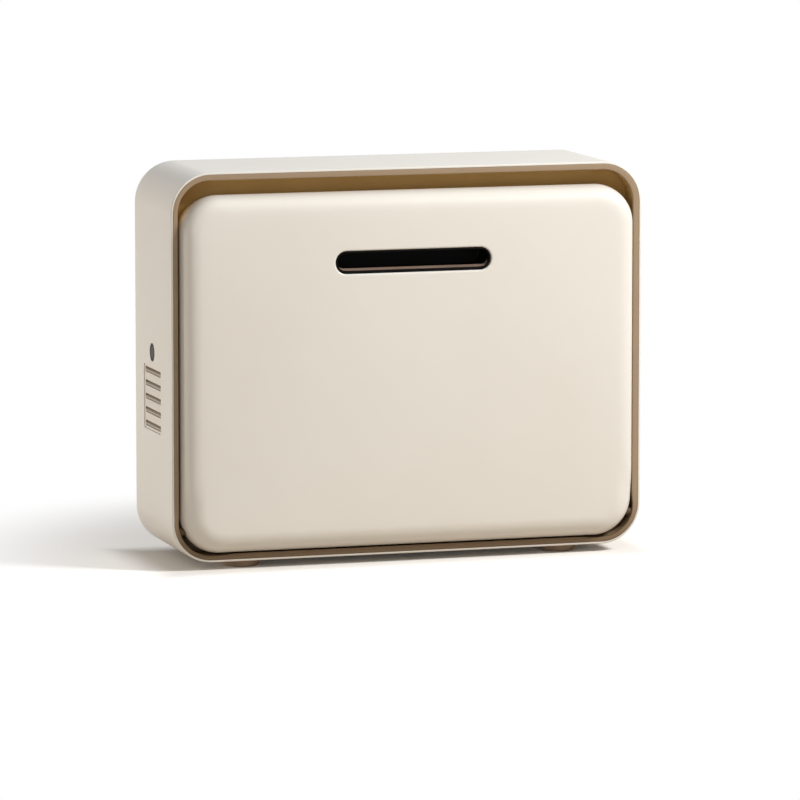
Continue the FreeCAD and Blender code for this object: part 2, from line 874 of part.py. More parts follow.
def foot(place):
    x, y = place
    pad = Part.makeCone(foot_radius - foot_taper, foot_radius, foot_height, V(x, y, 0), V(0, 0, 1))
    pad = pad.makeChamfer(foot_chamfer, edges_at(pad, "z", 0))
    top = V(x, y, floor_z + sleeve_wall)
    return fused(pad, [rod(foot_spigot_radius, V(x, y, foot_height / 2), top)])


def button_rod(radius, x_start, x_end):
    return rod(radius, V(x_start, vent_y, button_z), V(x_end, vent_y, button_z))


def button_bezel():
    bezel_back = button_layers()[0]
    body = button_rod(bezel_radius, -half_width, left_wall)
    flange = button_rod(bezel_radius + bezel_flange, left_wall, bezel_back)
    bore = button_rod(button_radius + slide_gap, -half_width - overrun, bezel_back + overrun)
    return fused(body, [flange]).cut(bore)


def power_button():
    bezel_back, cap_back, switch_front, _ = button_layers()
    cap = button_rod(button_radius, -half_width, cap_back)
    cap = cap.makeChamfer(button_skirt / 2, edges_at(cap, "x", -half_width))
    skirt = button_rod(button_radius + button_skirt, bezel_back + slide_gap, cap_back)
    hollow = button_rod(button_radius - button_skirt, -half_width + button_cap_depth, cap_back + overrun)
    stem = button_rod(button_stem_radius, -half_width + button_cap_depth / 2, cap_back)
    return fused(fused(cap, [skirt]).cut(hollow), [stem])


def switch_plunger():
    _, cap_back, _, _ = button_layers()
    return button_rod(plunger_radius, cap_back, cap_back + plunger_length)


def tact_switch():
    _, cap_back, front, back = button_layers()
    body = side_block((front, back), span(vent_y, switch_size), span(button_z, switch_size), switch_round)
    end = cap_back + plunger_length + button_travel + slide_gap
    return body.cut(button_rod(plunger_radius + running_gap, front - overrun, end))


def button_board():
    board_x = button_layers()[3]
    x_span = (board_x, board_x + board_sheet)
    y_span = span(vent_y, button_board_length)
    board = side_block(x_span, y_span, span(button_z, button_board_height), board_corner)
    cuts = []
    for y in button_post_places():
        start = V(board_x - overrun, y, button_z)
        cuts.append(rod(screw_radius + screw_hole_gap, start, V(x_span[1] + overrun, y, button_z)))
    return board.cut(cuts)


def side_vent():
    # Louvred insert: a plate set just below the cabinet's skin, with a flange behind the wall
    y_span = span(vent_y, vent_length - 2 * seat_gap)
    z_span = span(vent_z, vent_height - 2 * seat_gap)
    face = -half_width + vent_recess
    plate = side_block((face, left_wall), y_span, z_span, vent_corner - seat_gap)
    flange_x = (left_wall, left_wall + vent_flange_depth)
    flange_y = span(vent_y, vent_length + 2 * vent_flange)
    flange = side_block(flange_x, flange_y, span(vent_z, vent_height + 2 * vent_flange), vent_corner)
    body = fused(plate, [flange])
    slot_y = span(vent_y, vent_length - 2 * vent_slot_margin)
    inner_x = (face + vent_plate, flange_x[1] + overrun)
    cuts = []
    blades = []
    for row in range(vent_rows):
        z = vent_z + vent_pitch * (row - (vent_rows - 1) / 2)
        through = (face - overrun, inner_x[1])
        slot_round = vent_slot_height * slot_round_share
        cuts.append(side_block(through, slot_y, span(z, vent_slot_height), slot_round))
        middle = (face + flange_x[1]) / 2
        blade = block(span(middle, vent_blade_depth), slot_y, span(z, vent_blade_sheet))
        blade = blade.rotated(V(middle, vent_y, z), V(0, 1, 0), -vent_blade_pitch)
        keep_z = span(z, vent_slot_height + vent_plate)
        blades.append(blade.common(block((face, flange_x[1]), flange_y, keep_z)))
    return fused(body.cut(cuts), blades)


def control_board():
    y_span = span(board_y, board_width)
    board = flat_block(span(0, board_length), y_span, (board_low, board_top), board_corner)
    holes = []
    for x, y in standoff_places():
        start = V(x, y, board_low - overrun)
        holes.append(rod(screw_radius + screw_hole_gap, start, V(x, y, board_top + overrun)))
    return board.cut(holes)


def on_board(shares):
    return board_length * shares[0], board_y + board_width * shares[1]


def board_box(size, shares):
    x, y = on_board(shares)
    return span(x, size[0]), span(y, size[1]), (board_top, board_top + size[2])


def board_transformer():
    x_span, y_span, z_span = board_box(transformer_size, transformer_place_shares)
    core = block(x_span, y_span, z_span)
    x, y = on_board(transformer_place_shares)
    window = span(y, transformer_size[1] + overrun)
    height = transformer_size[2] - 2 * transformer_core
    middle = board_top + transformer_size[2] / 2
    windows = block(span(x, transformer_size[0] - 2 * transformer_core), window, span(middle, height))
    coil_y = span(y, transformer_size[1])
    coil = flat_block(span(x, transformer_core * 2), coil_y, span(middle, height), transformer_core / 2)
    return fused(core.cut(windows), [coil])


def board_relay():
    x_span, y_span, z_span = board_box(relay_size, relay_place_shares)
    relay = flat_block(x_span, y_span, z_span, relay_round)
    return relay.makeChamfer(relay_round / 2, edges_at(relay, "z", z_span[1]))


def board_capacitors():
    x, y = on_board(capacitor_place_shares)
    cans = []
    for index in range(capacitor_count):
        base = V(x + capacitor_pitch * index, y, board_top)
        can = rod(capacitor_radius, base, base + V(0, 0, capacitor_height))
        cans.append(can.makeChamfer(capacitor_chamfer, edges_at(can, "z", board_top + capacitor_height)))
    return Part.makeCompound(cans)


def board_connector():
    x_span, y_span, z_span = board_box(connector_size, connector_place_shares)
    x, y = on_board(connector_place_shares)
    well_x = span(x, connector_size[0] - 2 * connector_wall)
    well_y = span(y, connector_size[1] - 2 * connector_wall)
    well = block(well_x, well_y, (z_span[1] - connector_well, z_span[1] + overrun))
    return block(x_span, y_span, z_span).cut(well)


def board_screws():
    screws = [screw(V(x, y, board_top), V(0, 0, -1), board_screw_length) for x, y in standoff_places()]
    seat = button_layers()[3] + board_sheet
    for y in button_post_places():
        screws.append(screw(V(seat, y, button_z), V(-1, 0, 0), board_screw_length))
    return Part.makeCompound(screws)


def lamp_ballast():
    seat = mouth_high + liner_sheet
    top = seat + ballast_height
    y = (flange_back + liner_end) / 2
    width = chamber_depth - 2 * ballast_margin
    case = flat_block(span(ballast_offset, ballast_length), span(y, width), (seat, top), ballast_round)
    case = case.makeChamfer(ballast_round / 2, edges_at(case, "z", top))
    feet = flat_block(
        span(ballast_offset, ballast_length + 2 * ballast_foot),
        span(y, width / 2),
        (seat, seat + ballast_foot_sheet),
        ballast_round,
    )
    return fused(case, [feet])


def power_inlet():
    y_flange = (cover_back, cover_back + inlet_flange_sheet)
    width = inlet_body_width
    height = inlet_body_height
    body_y = (y_flange[1] - inlet_body_depth, cover_back + inlet_flange_sheet / 2)
    body = front_block(span(inlet_x, width), body_y, span(inlet_z, height), inlet_corner - seat_gap)
    flange_x = span(inlet_x, width + 2 * inlet_flange)
    flange = front_block(flange_x, y_flange, span(inlet_z, height + 2 * inlet_flange), inlet_corner)
    well_y = (y_flange[1] - inlet_well_depth, y_flange[1] + overrun)
    well_round = inlet_well_height * slot_round_share
    well = front_block(
        span(inlet_x, inlet_well_width), well_y, span(inlet_z, inlet_well_height), well_round
    )
    holes = [inlet_pin(inlet_pin_radius + press_gap, s, well_y[0] - inlet_flange) for s in (-1, 1)]
    return fused(body, [flange]).cut([well] + holes)


def inlet_pin(radius, side, y_start):
    x = inlet_x + side * inlet_pin_spacing / 2
    y_end = cover_back + inlet_flange_sheet - inlet_well_depth + inlet_pin_length
    return rod(radius, V(x, y_start, inlet_z), V(x, y_end, inlet_z))


def inlet_pins():
    y_start = cover_back + inlet_flange_sheet - inlet_well_depth - inlet_flange
    return Part.makeCompound([inlet_pin(inlet_pin_radius, s, y_start) for s in (-1, 1)])


def door_sensor():
    y_span = (flange_back, flange_back + sensor_depth)
    return front_block(span(0, sensor_length), y_span, span(magnet_z, sensor_height), sensor_height / 4)


def door_outline(inset, y_span):
    z_span = (door_low + inset, door_high - inset)
    return front_block(both_sides(door_half - inset), y_span, z_span, door_corner - inset)


def door_form(inset, y_end):
    # Pillow with a large front edge, whose lower edge is a bullnose about the hinge line.
    # The hollow in it, drawn in by inset, has a plain slope there
    y_start = door_front + inset
    body = door_outline(inset, (y_start, y_end))
    rim = edges_at(body, "y", y_start)
    body = body.makeChamfer(cavity_chamfer, rim) if inset else body.makeFillet(door_edge, rim)
    heel = block(both_sides(cabinet_width), (hinge_y, y_end + overrun), (floor_z, hinge_z))
    heel = heel.cut(hinge_rod(door_edge - inset, -2 * cabinet_width, 2 * cabinet_width))
    return body.cut(heel)


def panel_outline(inset, y_span):
    upper = block(both_sides(cabinet_width), y_span, (panel_low + inset, roof_z))
    return door_outline(door_wall + inset, y_span).common(upper)


def panel_boss_places():
    x = mouth_half - panel_boss_inset
    low = mouth_low + panel_boss_margin
    high = mouth_high - panel_boss_margin
    return [(s * x, z) for s in (-1, 1) for z in (low, (low + high) / 2, high)]


def door_shell():
    solid = door_form(0, door_back)
    cavity = door_form(door_wall, door_back - door_wall)
    shell = solid.cut(cavity).cut(panel_outline(0, (door_back - door_wall - overrun, door_back + overrun)))
    relief_face = door_half - hinge_relief - hinge_side_gap
    relief_radius = hinge_bush_radius + hinge_side_gap
    added = []
    cuts = []
    for side in (-1, 1):
        inner = side * (relief_face - hinge_pin_hold)
        added.append(hinge_rod(relief_radius + door_wall, inner, side * half_width).common(solid))
        cuts.append(hinge_rod(relief_radius, side * relief_face, side * half_width))
        cuts.append(hinge_rod(hinge_pin_radius + press_gap, inner - side * overrun, side * half_width))
        x_span = span(side * stop_x, stop_length)
        stop_z = (door_low - heel_gap + stop_gap, door_low + door_wall / 2)
        added.append(block(x_span, (hinge_y - stop_width, hinge_y), stop_z))
    for x, z in panel_boss_places():
        added.append(rod(panel_boss_radius, V(x, door_front + door_wall / 2, z), V(x, panel_front, z)))
        deep = V(x, door_back - panel_screw_length - seat_gap, z)
        cuts.append(rod(screw_radius + screw_pilot_gap, deep, V(x, door_back, z)))
    cuts.append(slot_block(cup_wall + seat_gap, (door_front - overrun, door_front + door_wall + overrun)))
    return fused(shell, added).cut(cuts)


def slot_block(grow, y_span):
    # The finger slot's capsule outline, grown by grow on every side
    height = slot_height + 2 * grow
    return front_block(
        span(0, slot_length + 2 * grow), y_span, span(slot_z, height), height / 2 - tolerance
    )


def pocket_block(grow, y_span):
    # Space for the fingers behind the slot, taller than the slot above it
    half = slot_length / 2 + grow
    z_span = (slot_z - slot_height / 2 - grow, slot_z + slot_height / 2 + cup_rise + grow)
    return front_block(both_sides(half), y_span, z_span, cup_corner + grow)


def handle_cup():
    throat = door_front + cup_throat
    floor = door_front + cup_depth
    seat = door_front + door_wall
    body = slot_block(cup_wall, (door_front, throat))
    pocket = pocket_block(cup_wall, (throat - cup_wall, floor + cup_wall))
    flange = pocket_block(cup_flange, (seat, seat + cup_lip))
    body = fused(body, [pocket, flange])
    slot = slot_block(0, (door_front - overrun, throat + overrun))
    return body.cut([slot, pocket_block(0, (throat, floor))])


def door_inner_panel():
    panel = panel_outline(seat_gap, (panel_front, door_back))
    holes = []
    for x, z in panel_boss_places():
        start = V(x, panel_front - overrun, z)
        holes.append(rod(screw_radius + screw_hole_gap, start, V(x, door_back + overrun, z)))
    return panel.cut(holes)


def panel_screws():
    way = V(0, -1, 0)
    return Part.makeCompound(
        [screw(V(x, door_back, z), way, panel_screw_length) for x, z in panel_boss_places()]
    )


def door_magnets():
    y_span = (panel_front - magnet_depth, panel_front)
    spans = [span(s * magnet_x, magnet_length) for s in (-1, 1)]
    return Part.makeCompound([block(x, y_span, span(magnet_z, magnet_height)) for x in spans])


def hinge_pin(side):
    inner = door_half - hinge_relief - hinge_side_gap - hinge_pin_hold
    outer = door_half - hinge_relief + hinge_pin_reach
    return hinge_rod(hinge_pin_radius, side * inner, side * outer)


pieces = {
    "outer_sleeve": outer_sleeve(),
    "front_ring": front_ring(),
    "mouth_flange": mouth_flange(),
    "hinge_bush_left": hinge_bush(-1),
    "hinge_bush_right": hinge_bush(1),
    "strike_plates": strike_plates(),
    "door_gasket": door_gasket(),
    "liner_floor": liner_floor(),
    "liner_sides": liner_sides(),
    "liner_ceiling": liner_ceiling(),
    "liner_back": liner_back(),
    "liner_screws": liner_screws(),
    "uv_tube": uv_tube(),
    "tube_end_caps": tube_end_caps(),
    "lamp_holder_left": lamp_holder(-1),
    "lamp_holder_right": lamp_holder(1),
    "lamp_reflector": lamp_reflector(),
    "lamp_guard": lamp_guard(),
    "wire_rack": wire_rack(),
    "rear_cover": rear_cover(),
    "rear_cover_screws": rear_cover_screws(),
    "fan_frame": fan_frame(),
    "fan_rotor": fan_rotor(),
    "fan_screws": fan_screws(),
    "heater_duct": heater_duct(),
    "heater_block": heater_block(),
    "thermal_cutout": thermal_cutout(),
    "button_bezel": button_bezel(),
    "power_button": power_button(),
    "switch_plunger": switch_plunger(),
    "tact_switch": tact_switch(),
    "button_board": button_board(),
    "side_vent": side_vent(),
    "control_board": control_board(),
    "board_transformer": board_transformer(),
    "board_relay": board_relay(),
    "board_capacitors": board_capacitors(),
    "board_connector": board_connector(),
    "board_screws": board_screws(),
    "lamp_ballast": lamp_ballast(),
    "power_inlet": power_inlet(),
    "inlet_pins": inlet_pins(),
    "door_sensor": door_sensor(),
    "door_shell": door_shell(),
    "door_inner_panel": door_inner_panel(),
    "handle_cup": handle_cup(),
    "panel_screws": panel_screws(),
    "door_magnets": door_magnets(),
    "hinge_pin_left": hinge_pin(-1),
    "hinge_pin_right": hinge_pin(1),
}
pieces.update({name: foot(place) for name, place in foot_places.items()})

os.makedirs("parts", exist_ok=True)
for name, shape in pieces.items():
    shape.exportStep(f"parts/{name}.step")
    print(name, len(shape.Solids), "valid" if shape.isValid() else "NOT VALID", round(shape.Volume, 1))
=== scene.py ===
import bpy
import json
import math
import numpy as np
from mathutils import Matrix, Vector


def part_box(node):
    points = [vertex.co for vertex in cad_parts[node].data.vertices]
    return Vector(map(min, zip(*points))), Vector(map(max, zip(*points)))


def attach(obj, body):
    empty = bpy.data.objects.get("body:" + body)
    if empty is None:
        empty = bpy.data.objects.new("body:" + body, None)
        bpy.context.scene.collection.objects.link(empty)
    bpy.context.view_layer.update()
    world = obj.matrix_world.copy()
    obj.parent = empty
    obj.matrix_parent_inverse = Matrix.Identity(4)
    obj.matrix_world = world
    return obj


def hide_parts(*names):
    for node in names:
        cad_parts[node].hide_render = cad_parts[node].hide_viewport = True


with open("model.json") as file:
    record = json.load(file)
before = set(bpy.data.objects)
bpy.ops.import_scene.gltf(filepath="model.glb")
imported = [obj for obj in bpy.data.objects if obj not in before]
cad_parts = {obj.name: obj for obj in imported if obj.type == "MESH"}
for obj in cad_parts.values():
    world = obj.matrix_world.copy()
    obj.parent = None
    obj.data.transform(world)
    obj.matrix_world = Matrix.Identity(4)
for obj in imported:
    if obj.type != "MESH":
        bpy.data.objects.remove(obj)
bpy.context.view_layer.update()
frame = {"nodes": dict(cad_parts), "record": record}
nodes = frame["nodes"]
scene = bpy.context.scene
print("frame loaded:", len(nodes), "solids")

# helpers for shader nodes


def tint(red, green, blue):
    # screen colour, 0 to 255, as the linear colour that sockets take
    value = np.array((red, green, blue)) / 255
    linear = np.where(value <= 0.04045, value / 12.92, ((value + 0.055) / 1.055) ** 2.4)
    return (*linear.tolist(), 1.0)


def addNode(tree, kind, sockets=None, **settings):
    node = tree.nodes.new(kind)
    for key, value in settings.items():
        setattr(node, key, value)
    for key, value in (sockets or {}).items():
        if isinstance(value, bpy.types.NodeSocket):
            tree.links.new(value, node.inputs[key])
        else:
            node.inputs[key].default_value = value
    return node


def newGroup(name, takes, gives):
    group = bpy.data.node_groups.new(name, "ShaderNodeTree")
    kinds = {"colour": "NodeSocketColor", "value": "NodeSocketFloat", "vector": "NodeSocketVector"}
    for label, kind in takes:
        group.interface.new_socket(name=label, in_out="INPUT", socket_type=kinds[kind])
    for label, kind in gives:
        group.interface.new_socket(name=label, in_out="OUTPUT", socket_type=kinds[kind])
    return group, addNode(group, "NodeGroupInput"), addNode(group, "NodeGroupOutput")


def objectPlace(tree):
    return addNode(tree, "ShaderNodeTexCoord").outputs["Object"]


def objectAxes(tree):
    return addNode(tree, "ShaderNodeSeparateXYZ", {0: objectPlace(tree)}).outputs


def spread(tree, value, low, high, first=0.0, last=1.0, shape="LINEAR"):
    # values from low to high become first to last, and stay at either of them beyond
    sockets = {0: value, 1: low, 2: high, 3: first, 4: last}
    return addNode(tree, "ShaderNodeMapRange", sockets, interpolation_type=shape).outputs[0]


def blendColour(tree, share, first, second):
    return addNode(tree, "ShaderNodeMix", {0: share, 6: first, 7: second}, data_type="RGBA").outputs[2]


def sums(tree, operation, first, second):
    return addNode(tree, "ShaderNodeMath", {0: first, 1: second}, operation=operation).outputs[0]


takesTone = [
    ("Base", "colour"), ("Shade", "colour"), ("Patch", "value"), ("Rough", "value"), ("RoughSpread", "value"),
    ("Grain", "value"), ("Stretch", "vector"),
]
givesTone = [("Colour", "colour"), ("Roughness", "value"), ("Height", "value")]
noiseSpan = (0.3, 0.7)  # where most of a noise's values lie
smearRatio = 7.0  # how much finer the uneven gloss is than the patches of colour
white = (1, 1, 1, 1)


def mouldedTone():
    # moulded or painted skin: wide faint patches of colour and gloss, and a fine even grain
    group, takes, gives = newGroup("mouldedTone", takesTone, givesTone)
    place = objectPlace(group)
    wide = addNode(group, "ShaderNodeTexNoise", {"Vector": place, "Scale": takes.outputs["Patch"], "Detail": 3.0})
    patch = spread(group, wide.outputs[0], *noiseSpan)
    closer = sums(group, "MULTIPLY", takes.outputs["Patch"], smearRatio)
    smear = addNode(group, "ShaderNodeTexNoise", {"Vector": place, "Scale": closer, "Detail": 4.0})
    uneven = sums(group, "SUBTRACT", smear.outputs[0], 0.5)
    uneven = sums(group, "MULTIPLY", uneven, takes.outputs["RoughSpread"])
    grain = addNode(group, "ShaderNodeTexNoise", {"Vector": place, "Scale": takes.outputs["Grain"], "Detail": 2.0})
    colour = blendColour(group, patch, takes.outputs["Base"], takes.outputs["Shade"])
    group.links.new(colour, gives.inputs["Colour"])
    group.links.new(sums(group, "ADD", takes.outputs["Rough"], uneven), gives.inputs["Roughness"])
    group.links.new(grain.outputs[0], gives.inputs["Height"])
    return group


def drawnMetal():
    # rolled or brushed metal: noise pulled out along one axis by Stretch, in colour, gloss and height
    group, takes, gives = newGroup("drawnMetal", takesTone, givesTone)
    place = objectPlace(group)
    drawn = addNode(group, "ShaderNodeVectorMath", {0: place, 1: takes.outputs["Stretch"]}, operation="MULTIPLY")
    line = addNode(
        group, "ShaderNodeTexNoise", {"Vector": drawn.outputs[0], "Scale": takes.outputs["Grain"], "Detail": 3.0}
    )
    cloud = addNode(group, "ShaderNodeTexNoise", {"Vector": place, "Scale": takes.outputs["Patch"], "Detail": 2.0})
    streak = spread(group, line.outputs[0], *noiseSpan)
    share = sums(group, "MULTIPLY", sums(group, "ADD", streak, cloud.outputs[0]), 0.5)
    uneven = sums(group, "MULTIPLY", sums(group, "SUBTRACT", streak, 0.5), takes.outputs["RoughSpread"])
    colour = blendColour(group, share, takes.outputs["Base"], takes.outputs["Shade"])
    group.links.new(colour, gives.inputs["Colour"])
    group.links.new(sums(group, "ADD", takes.outputs["Rough"], uneven), gives.inputs["Roughness"])
    group.links.new(line.outputs[0], gives.inputs["Height"])
    return group


effects = {"mouldedTone": mouldedTone(), "drawnMetal": drawnMetal()}

# one entry for each slot of the record, and for the recess round the door (the trim lightened and warmed as painted
# bounce light), the vent (painted shade in its slots), the slot's sill and the hinge's
# bushes: colours as seen on screen, gloss and grain, and plain shader values
finishes = {
    "cream_shell": {
        "effect": "mouldedTone", "base": (228, 224, 216), "shade": (225, 220, 211), "patch": 9.0,
        "rough": 0.36, "roughSpread": 0.06, "grain": 2400.0, "bump": 0.05,
        "shader": {"Coat Weight": 0.15, "Coat Roughness": 0.22},
    },
    "champagne_trim": {
        "effect": "drawnMetal", "base": (162, 141, 117), "shade": (154, 133, 109), "patch": 12.0,
        "rough": 0.42, "roughSpread": 0.10, "grain": 900.0, "bump": 0.05, "stretch": (0.05, 1.0, 0.05),
        "shader": {"Specular IOR Level": 0.2},
        # painted shade: the ring darker along its bottom, where the door's shadow falls
        "below": {"colour": (122, 102, 78), "from": 0.009, "to": 0.034},
    },
    "dark_gloss": {
        "effect": "mouldedTone", "base": (6, 6, 5), "shade": (9, 8, 7), "patch": 30.0,
        "rough": 0.55, "roughSpread": 0.06, "grain": 3000.0, "bump": 0.03,
        "shader": {"Specular IOR Level": 0.08},
    },
    # painted bounce light: the champagne trim made lighter and warmer for the walls and flange of the recess round the
    # door
    "recessPaintedBounce": {
        "effect": "drawnMetal", "base": (214, 179, 116), "shade": (202, 167, 105), "patch": 12.0,
        "rough": 0.42, "roughSpread": 0.10, "grain": 900.0, "bump": 0.05, "stretch": (0.05, 1.0, 0.05),
        "shader": {"Specular IOR Level": 0.2},
        # painted shade: the recess darker in its lower part
        "below": {"colour": (150, 126, 98), "from": 0.08, "to": 0.20},
    },
    # the shell's cream with painted shade in the vent's slots, deeper in and on the blades' ends
    "ventPaintedShade": {
        "effect": "mouldedTone", "base": (228, 224, 216), "shade": (225, 220, 211), "patch": 9.0,
        "rough": 0.42, "roughSpread": 0.06, "grain": 2400.0, "bump": 0.05,
        "shader": {"Specular IOR Level": 0.3},
        "inside": {
            "colour": (166, 154, 139), "from": -0.14938, "to": -0.14915, "rowAt": (0.00771, 0.1005),
            "pitch": 0.0083, "half": (0.0179, 0.0017), "edge": 0.00005,
        },
    },
    "slotBronze": {
        "effect": "mouldedTone", "base": (140, 119, 104), "shade": (126, 106, 92), "patch": 30.0,
        "rough": 0.40, "roughSpread": 0.06, "grain": 3000.0, "bump": 0.03,
        "shader": {"Specular IOR Level": 0.3},
    },
    "bushBrown": {
        "effect": "mouldedTone", "base": (88, 71, 53), "shade": (80, 64, 47), "patch": 40.0,
        "rough": 0.55, "roughSpread": 0.06, "grain": 2600.0, "bump": 0.05,
        "shader": {"Specular IOR Level": 0.2},
    },
    "dark_matte": {
        "effect": "mouldedTone", "base": (52, 45, 38), "shade": (43, 37, 31), "patch": 40.0,
        "rough": 0.55, "roughSpread": 0.08, "grain": 2600.0, "bump": 0.08, "shader": {"Specular IOR Level": 0.25},
    },
    "bright_liner": {
        "effect": "drawnMetal", "base": (214, 214, 211), "shade": (190, 190, 188), "patch": 8.0,
        "rough": 0.27, "roughSpread": 0.10, "grain": 800.0, "bump": 0.05, "stretch": (0.03, 0.6, 1.0),
        "shader": {"Metallic": 1.0},
    },
    "steel_sheet": {
        "effect": "drawnMetal", "base": (176, 177, 176), "shade": (148, 150, 150), "patch": 60.0,
        "rough": 0.40, "roughSpread": 0.14, "grain": 500.0, "bump": 0.05, "stretch": (0.2, 1.0, 1.0),
        "shader": {"Metallic": 1.0},
    },
    "screw_steel": {
        "effect": "drawnMetal", "base": (188, 186, 181), "shade": (150, 148, 143), "patch": 90.0,
        "rough": 0.30, "roughSpread": 0.12, "grain": 2200.0, "bump": 0.05, "stretch": (1.0, 1.0, 0.2),
        "shader": {"Metallic": 1.0},
    },
    "chrome_wire": {
        "effect": "drawnMetal", "base": (228, 228, 228), "shade": (205, 206, 208), "patch": 60.0,
        "rough": 0.13, "roughSpread": 0.05, "grain": 900.0, "bump": 0.02, "stretch": (1.0, 0.1, 1.0),
        "shader": {"Metallic": 1.0},
    },
    "lamp_glass": {
        "effect": "mouldedTone", "base": (246, 249, 250), "shade": (238, 243, 246), "patch": 20.0,
        "rough": 0.03, "roughSpread": 0.02, "grain": 700.0, "bump": 0.01,
        "shader": {"Transmission Weight": 1.0, "IOR": 1.46},
    },
    "white_plastic": {
        "effect": "mouldedTone", "base": (232, 229, 222), "shade": (224, 221, 213), "patch": 25.0,
        "rough": 0.45, "roughSpread": 0.08, "grain": 2600.0, "bump": 0.06, "shader": {},
    },
    "soft_rubber": {
        "effect": "mouldedTone", "base": (160, 138, 118), "shade": (146, 124, 105), "patch": 60.0,
        "rough": 0.72, "roughSpread": 0.10, "grain": 1800.0, "bump": 0.15, "shader": {},
    },
    "seal_rubber": {
        "effect": "mouldedTone", "base": (150, 143, 134), "shade": (138, 131, 122), "patch": 40.0,
        "rough": 0.62, "roughSpread": 0.10, "grain": 1900.0, "bump": 0.12, "shader": {},
    },
    "board_laminate": {
        "effect": "mouldedTone", "base": (30, 88, 60), "shade": (38, 104, 70), "patch": 180.0,
        "rough": 0.38, "roughSpread": 0.12, "grain": 1400.0, "bump": 0.10, "shader": {"Coat Weight": 0.2},
    },
    "board_parts": {
        "effect": "mouldedTone", "base": (38, 38, 40), "shade": (54, 53, 52), "patch": 120.0,
        "rough": 0.46, "roughSpread": 0.12, "grain": 2400.0, "bump": 0.08, "shader": {},
    },
    "inlet_brass": {
        "effect": "drawnMetal", "base": (206, 172, 108), "shade": (184, 148, 86), "patch": 80.0,
        "rough": 0.24, "roughSpread": 0.08, "grain": 1500.0, "bump": 0.03, "stretch": (1.0, 0.1, 1.0),
        "shader": {"Metallic": 1.0},
    },
}
grainDepth = 0.00003  # metres


def makeFinish(slot, look):
    material = bpy.data.materials.new(slot + "Finish")
    material.use_nodes = True
    tree = material.node_tree
    shader = tree.nodes["Principled BSDF"]
    for socket, value in look["shader"].items():
        shader.inputs[socket].default_value = value
    effect = addNode(tree, "ShaderNodeGroup", node_tree=effects[look["effect"]])
    values = {
        "Base": tint(*look["base"]), "Shade": tint(*look["shade"]), "Patch": look["patch"], "Rough": look["rough"],
        "RoughSpread": look["roughSpread"], "Grain": look["grain"], "Stretch": look.get("stretch", (1.0, 1.0, 1.0)),
    }
    for socket, value in values.items():
        effect.inputs[socket].default_value = value
    colour = effect.outputs["Colour"]
    if "below" in look:
        # painted shade: a darker colour takes over lower down
        risen = spread(tree, objectAxes(tree)[2], look["below"]["from"], look["below"]["to"])
        colour = blendColour(tree, risen, tint(*look["below"]["colour"]), colour)
    if "inside" in look:
        # painted shade: a darker colour takes over with depth along X, and on the blades' ends in the rows of slots
        rows = look["inside"]
        along = objectAxes(tree)
        deep = spread(tree, along[0], rows["from"], rows["to"])
        across = sums(tree, "ABSOLUTE", sums(tree, "SUBTRACT", along[1], rows["rowAt"][0]), 0.0)
        rise = sums(tree, "PINGPONG", sums(tree, "SUBTRACT", along[2], rows["rowAt"][1]), rows["pitch"] / 2)
        inLength, inHeight = [
            spread(tree, gap, half, half - rows["edge"]) for gap, half in zip((across, rise), rows["half"])
        ]
        share = sums(tree, "MAXIMUM", deep, sums(tree, "MULTIPLY", inLength, inHeight))
        colour = blendColour(tree, share, colour, tint(*rows["colour"]))
    tree.links.new(colour, shader.inputs["Base Color"])
    tree.links.new(effect.outputs["Roughness"], shader.inputs["Roughness"])
    bump = addNode(
        tree, "ShaderNodeBump",
        {"Height": effect.outputs["Height"], "Strength": look["bump"], "Distance": grainDepth},
    )
    tree.links.new(bump.outputs["Normal"], shader.inputs["Normal"])
    return material


materials = {slot: makeFinish(slot, look) for slot, look in finishes.items()}
print("finishes made:", len(materials))

# helpers for surfaces


def gridSheet(points, capStart=False, capEnd=False):
    # points[turn, step] is a ring of turns for each step. Rings close on themselves, and the last joins the first
    # unless an end is capped by a fan to its middle
    turnCount, stepCount = points.shape[:2]
    verts = points.reshape(-1, 3)
    turn, step = np.meshgrid(np.arange(turnCount), np.arange(stepCount - (capStart or capEnd)), indexing="ij")
    nextTurn, nextStep = (turn + 1) % turnCount, (step + 1) % stepCount
    quads = np.stack([turn * stepCount + step, nextTurn * stepCount + step,
                      nextTurn * stepCount + nextStep, turn * stepCount + nextStep], axis=-1).reshape(-1, 4)
    fans = []
    ring = np.arange(turnCount)
    for wanted, column, flip in ((capStart, 0, True), (capEnd, stepCount - 1, False)):
        if not wanted:
            continue
        middle = np.full(turnCount, len(verts))
        verts = np.vstack([verts, points[:, column].mean(axis=0)])
        first, second = ring * stepCount + column, np.roll(ring, -1) * stepCount + column
        fans.append(np.stack([second, first, middle] if flip else [first, second, middle], axis=-1))
    corner = verts[quads]
    volume = np.sum(corner[:, 0] * np.cross(corner[:, 1], corner[:, 2]))
    volume += np.sum(corner[:, 0] * np.cross(corner[:, 2], corner[:, 3]))
    for fan in fans:
        volume += np.sum(verts[fan][:, 0] * np.cross(verts[fan][:, 1], verts[fan][:, 2]))
    if volume < 0:  # turn the faces outwards
        quads = quads[:, ::-1]
        fans = [fan[:, ::-1] for fan in fans]
    return verts, quads, fans


def addPiece(name, sheets, slot, body, node=None, sharpAngle=35.0):
    # one object from any number of sheets, placed in its mesh. It stands for node where one is given
    verts, faces, start = [], [], 0
    for sheetVerts, quads, fans in sheets:
        verts.append(sheetVerts)
        faces += (quads + start).tolist()
        for fan in fans:
            faces += (fan + start).tolist()
        start += len(sheetVerts)
    mesh = bpy.data.meshes.new(name)
    mesh.from_pydata(np.vstack(verts).tolist(), [], faces)
    mesh.shade_smooth()
    mesh.set_sharp_from_angle(angle=math.radians(sharpAngle))
    piece = bpy.data.objects.new(name, mesh)
    scene.collection.objects.link(piece)
    mesh.materials.append(materials[slot])
    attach(piece, body)
    if node:
        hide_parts(node)
    return piece


def turnsOf(count):
    return np.linspace(0, 2 * np.pi, count, endpoint=False)


def eased(share):
    # smoothstep from 0 to 1
    return share ** 2 * (3 - 2 * share)


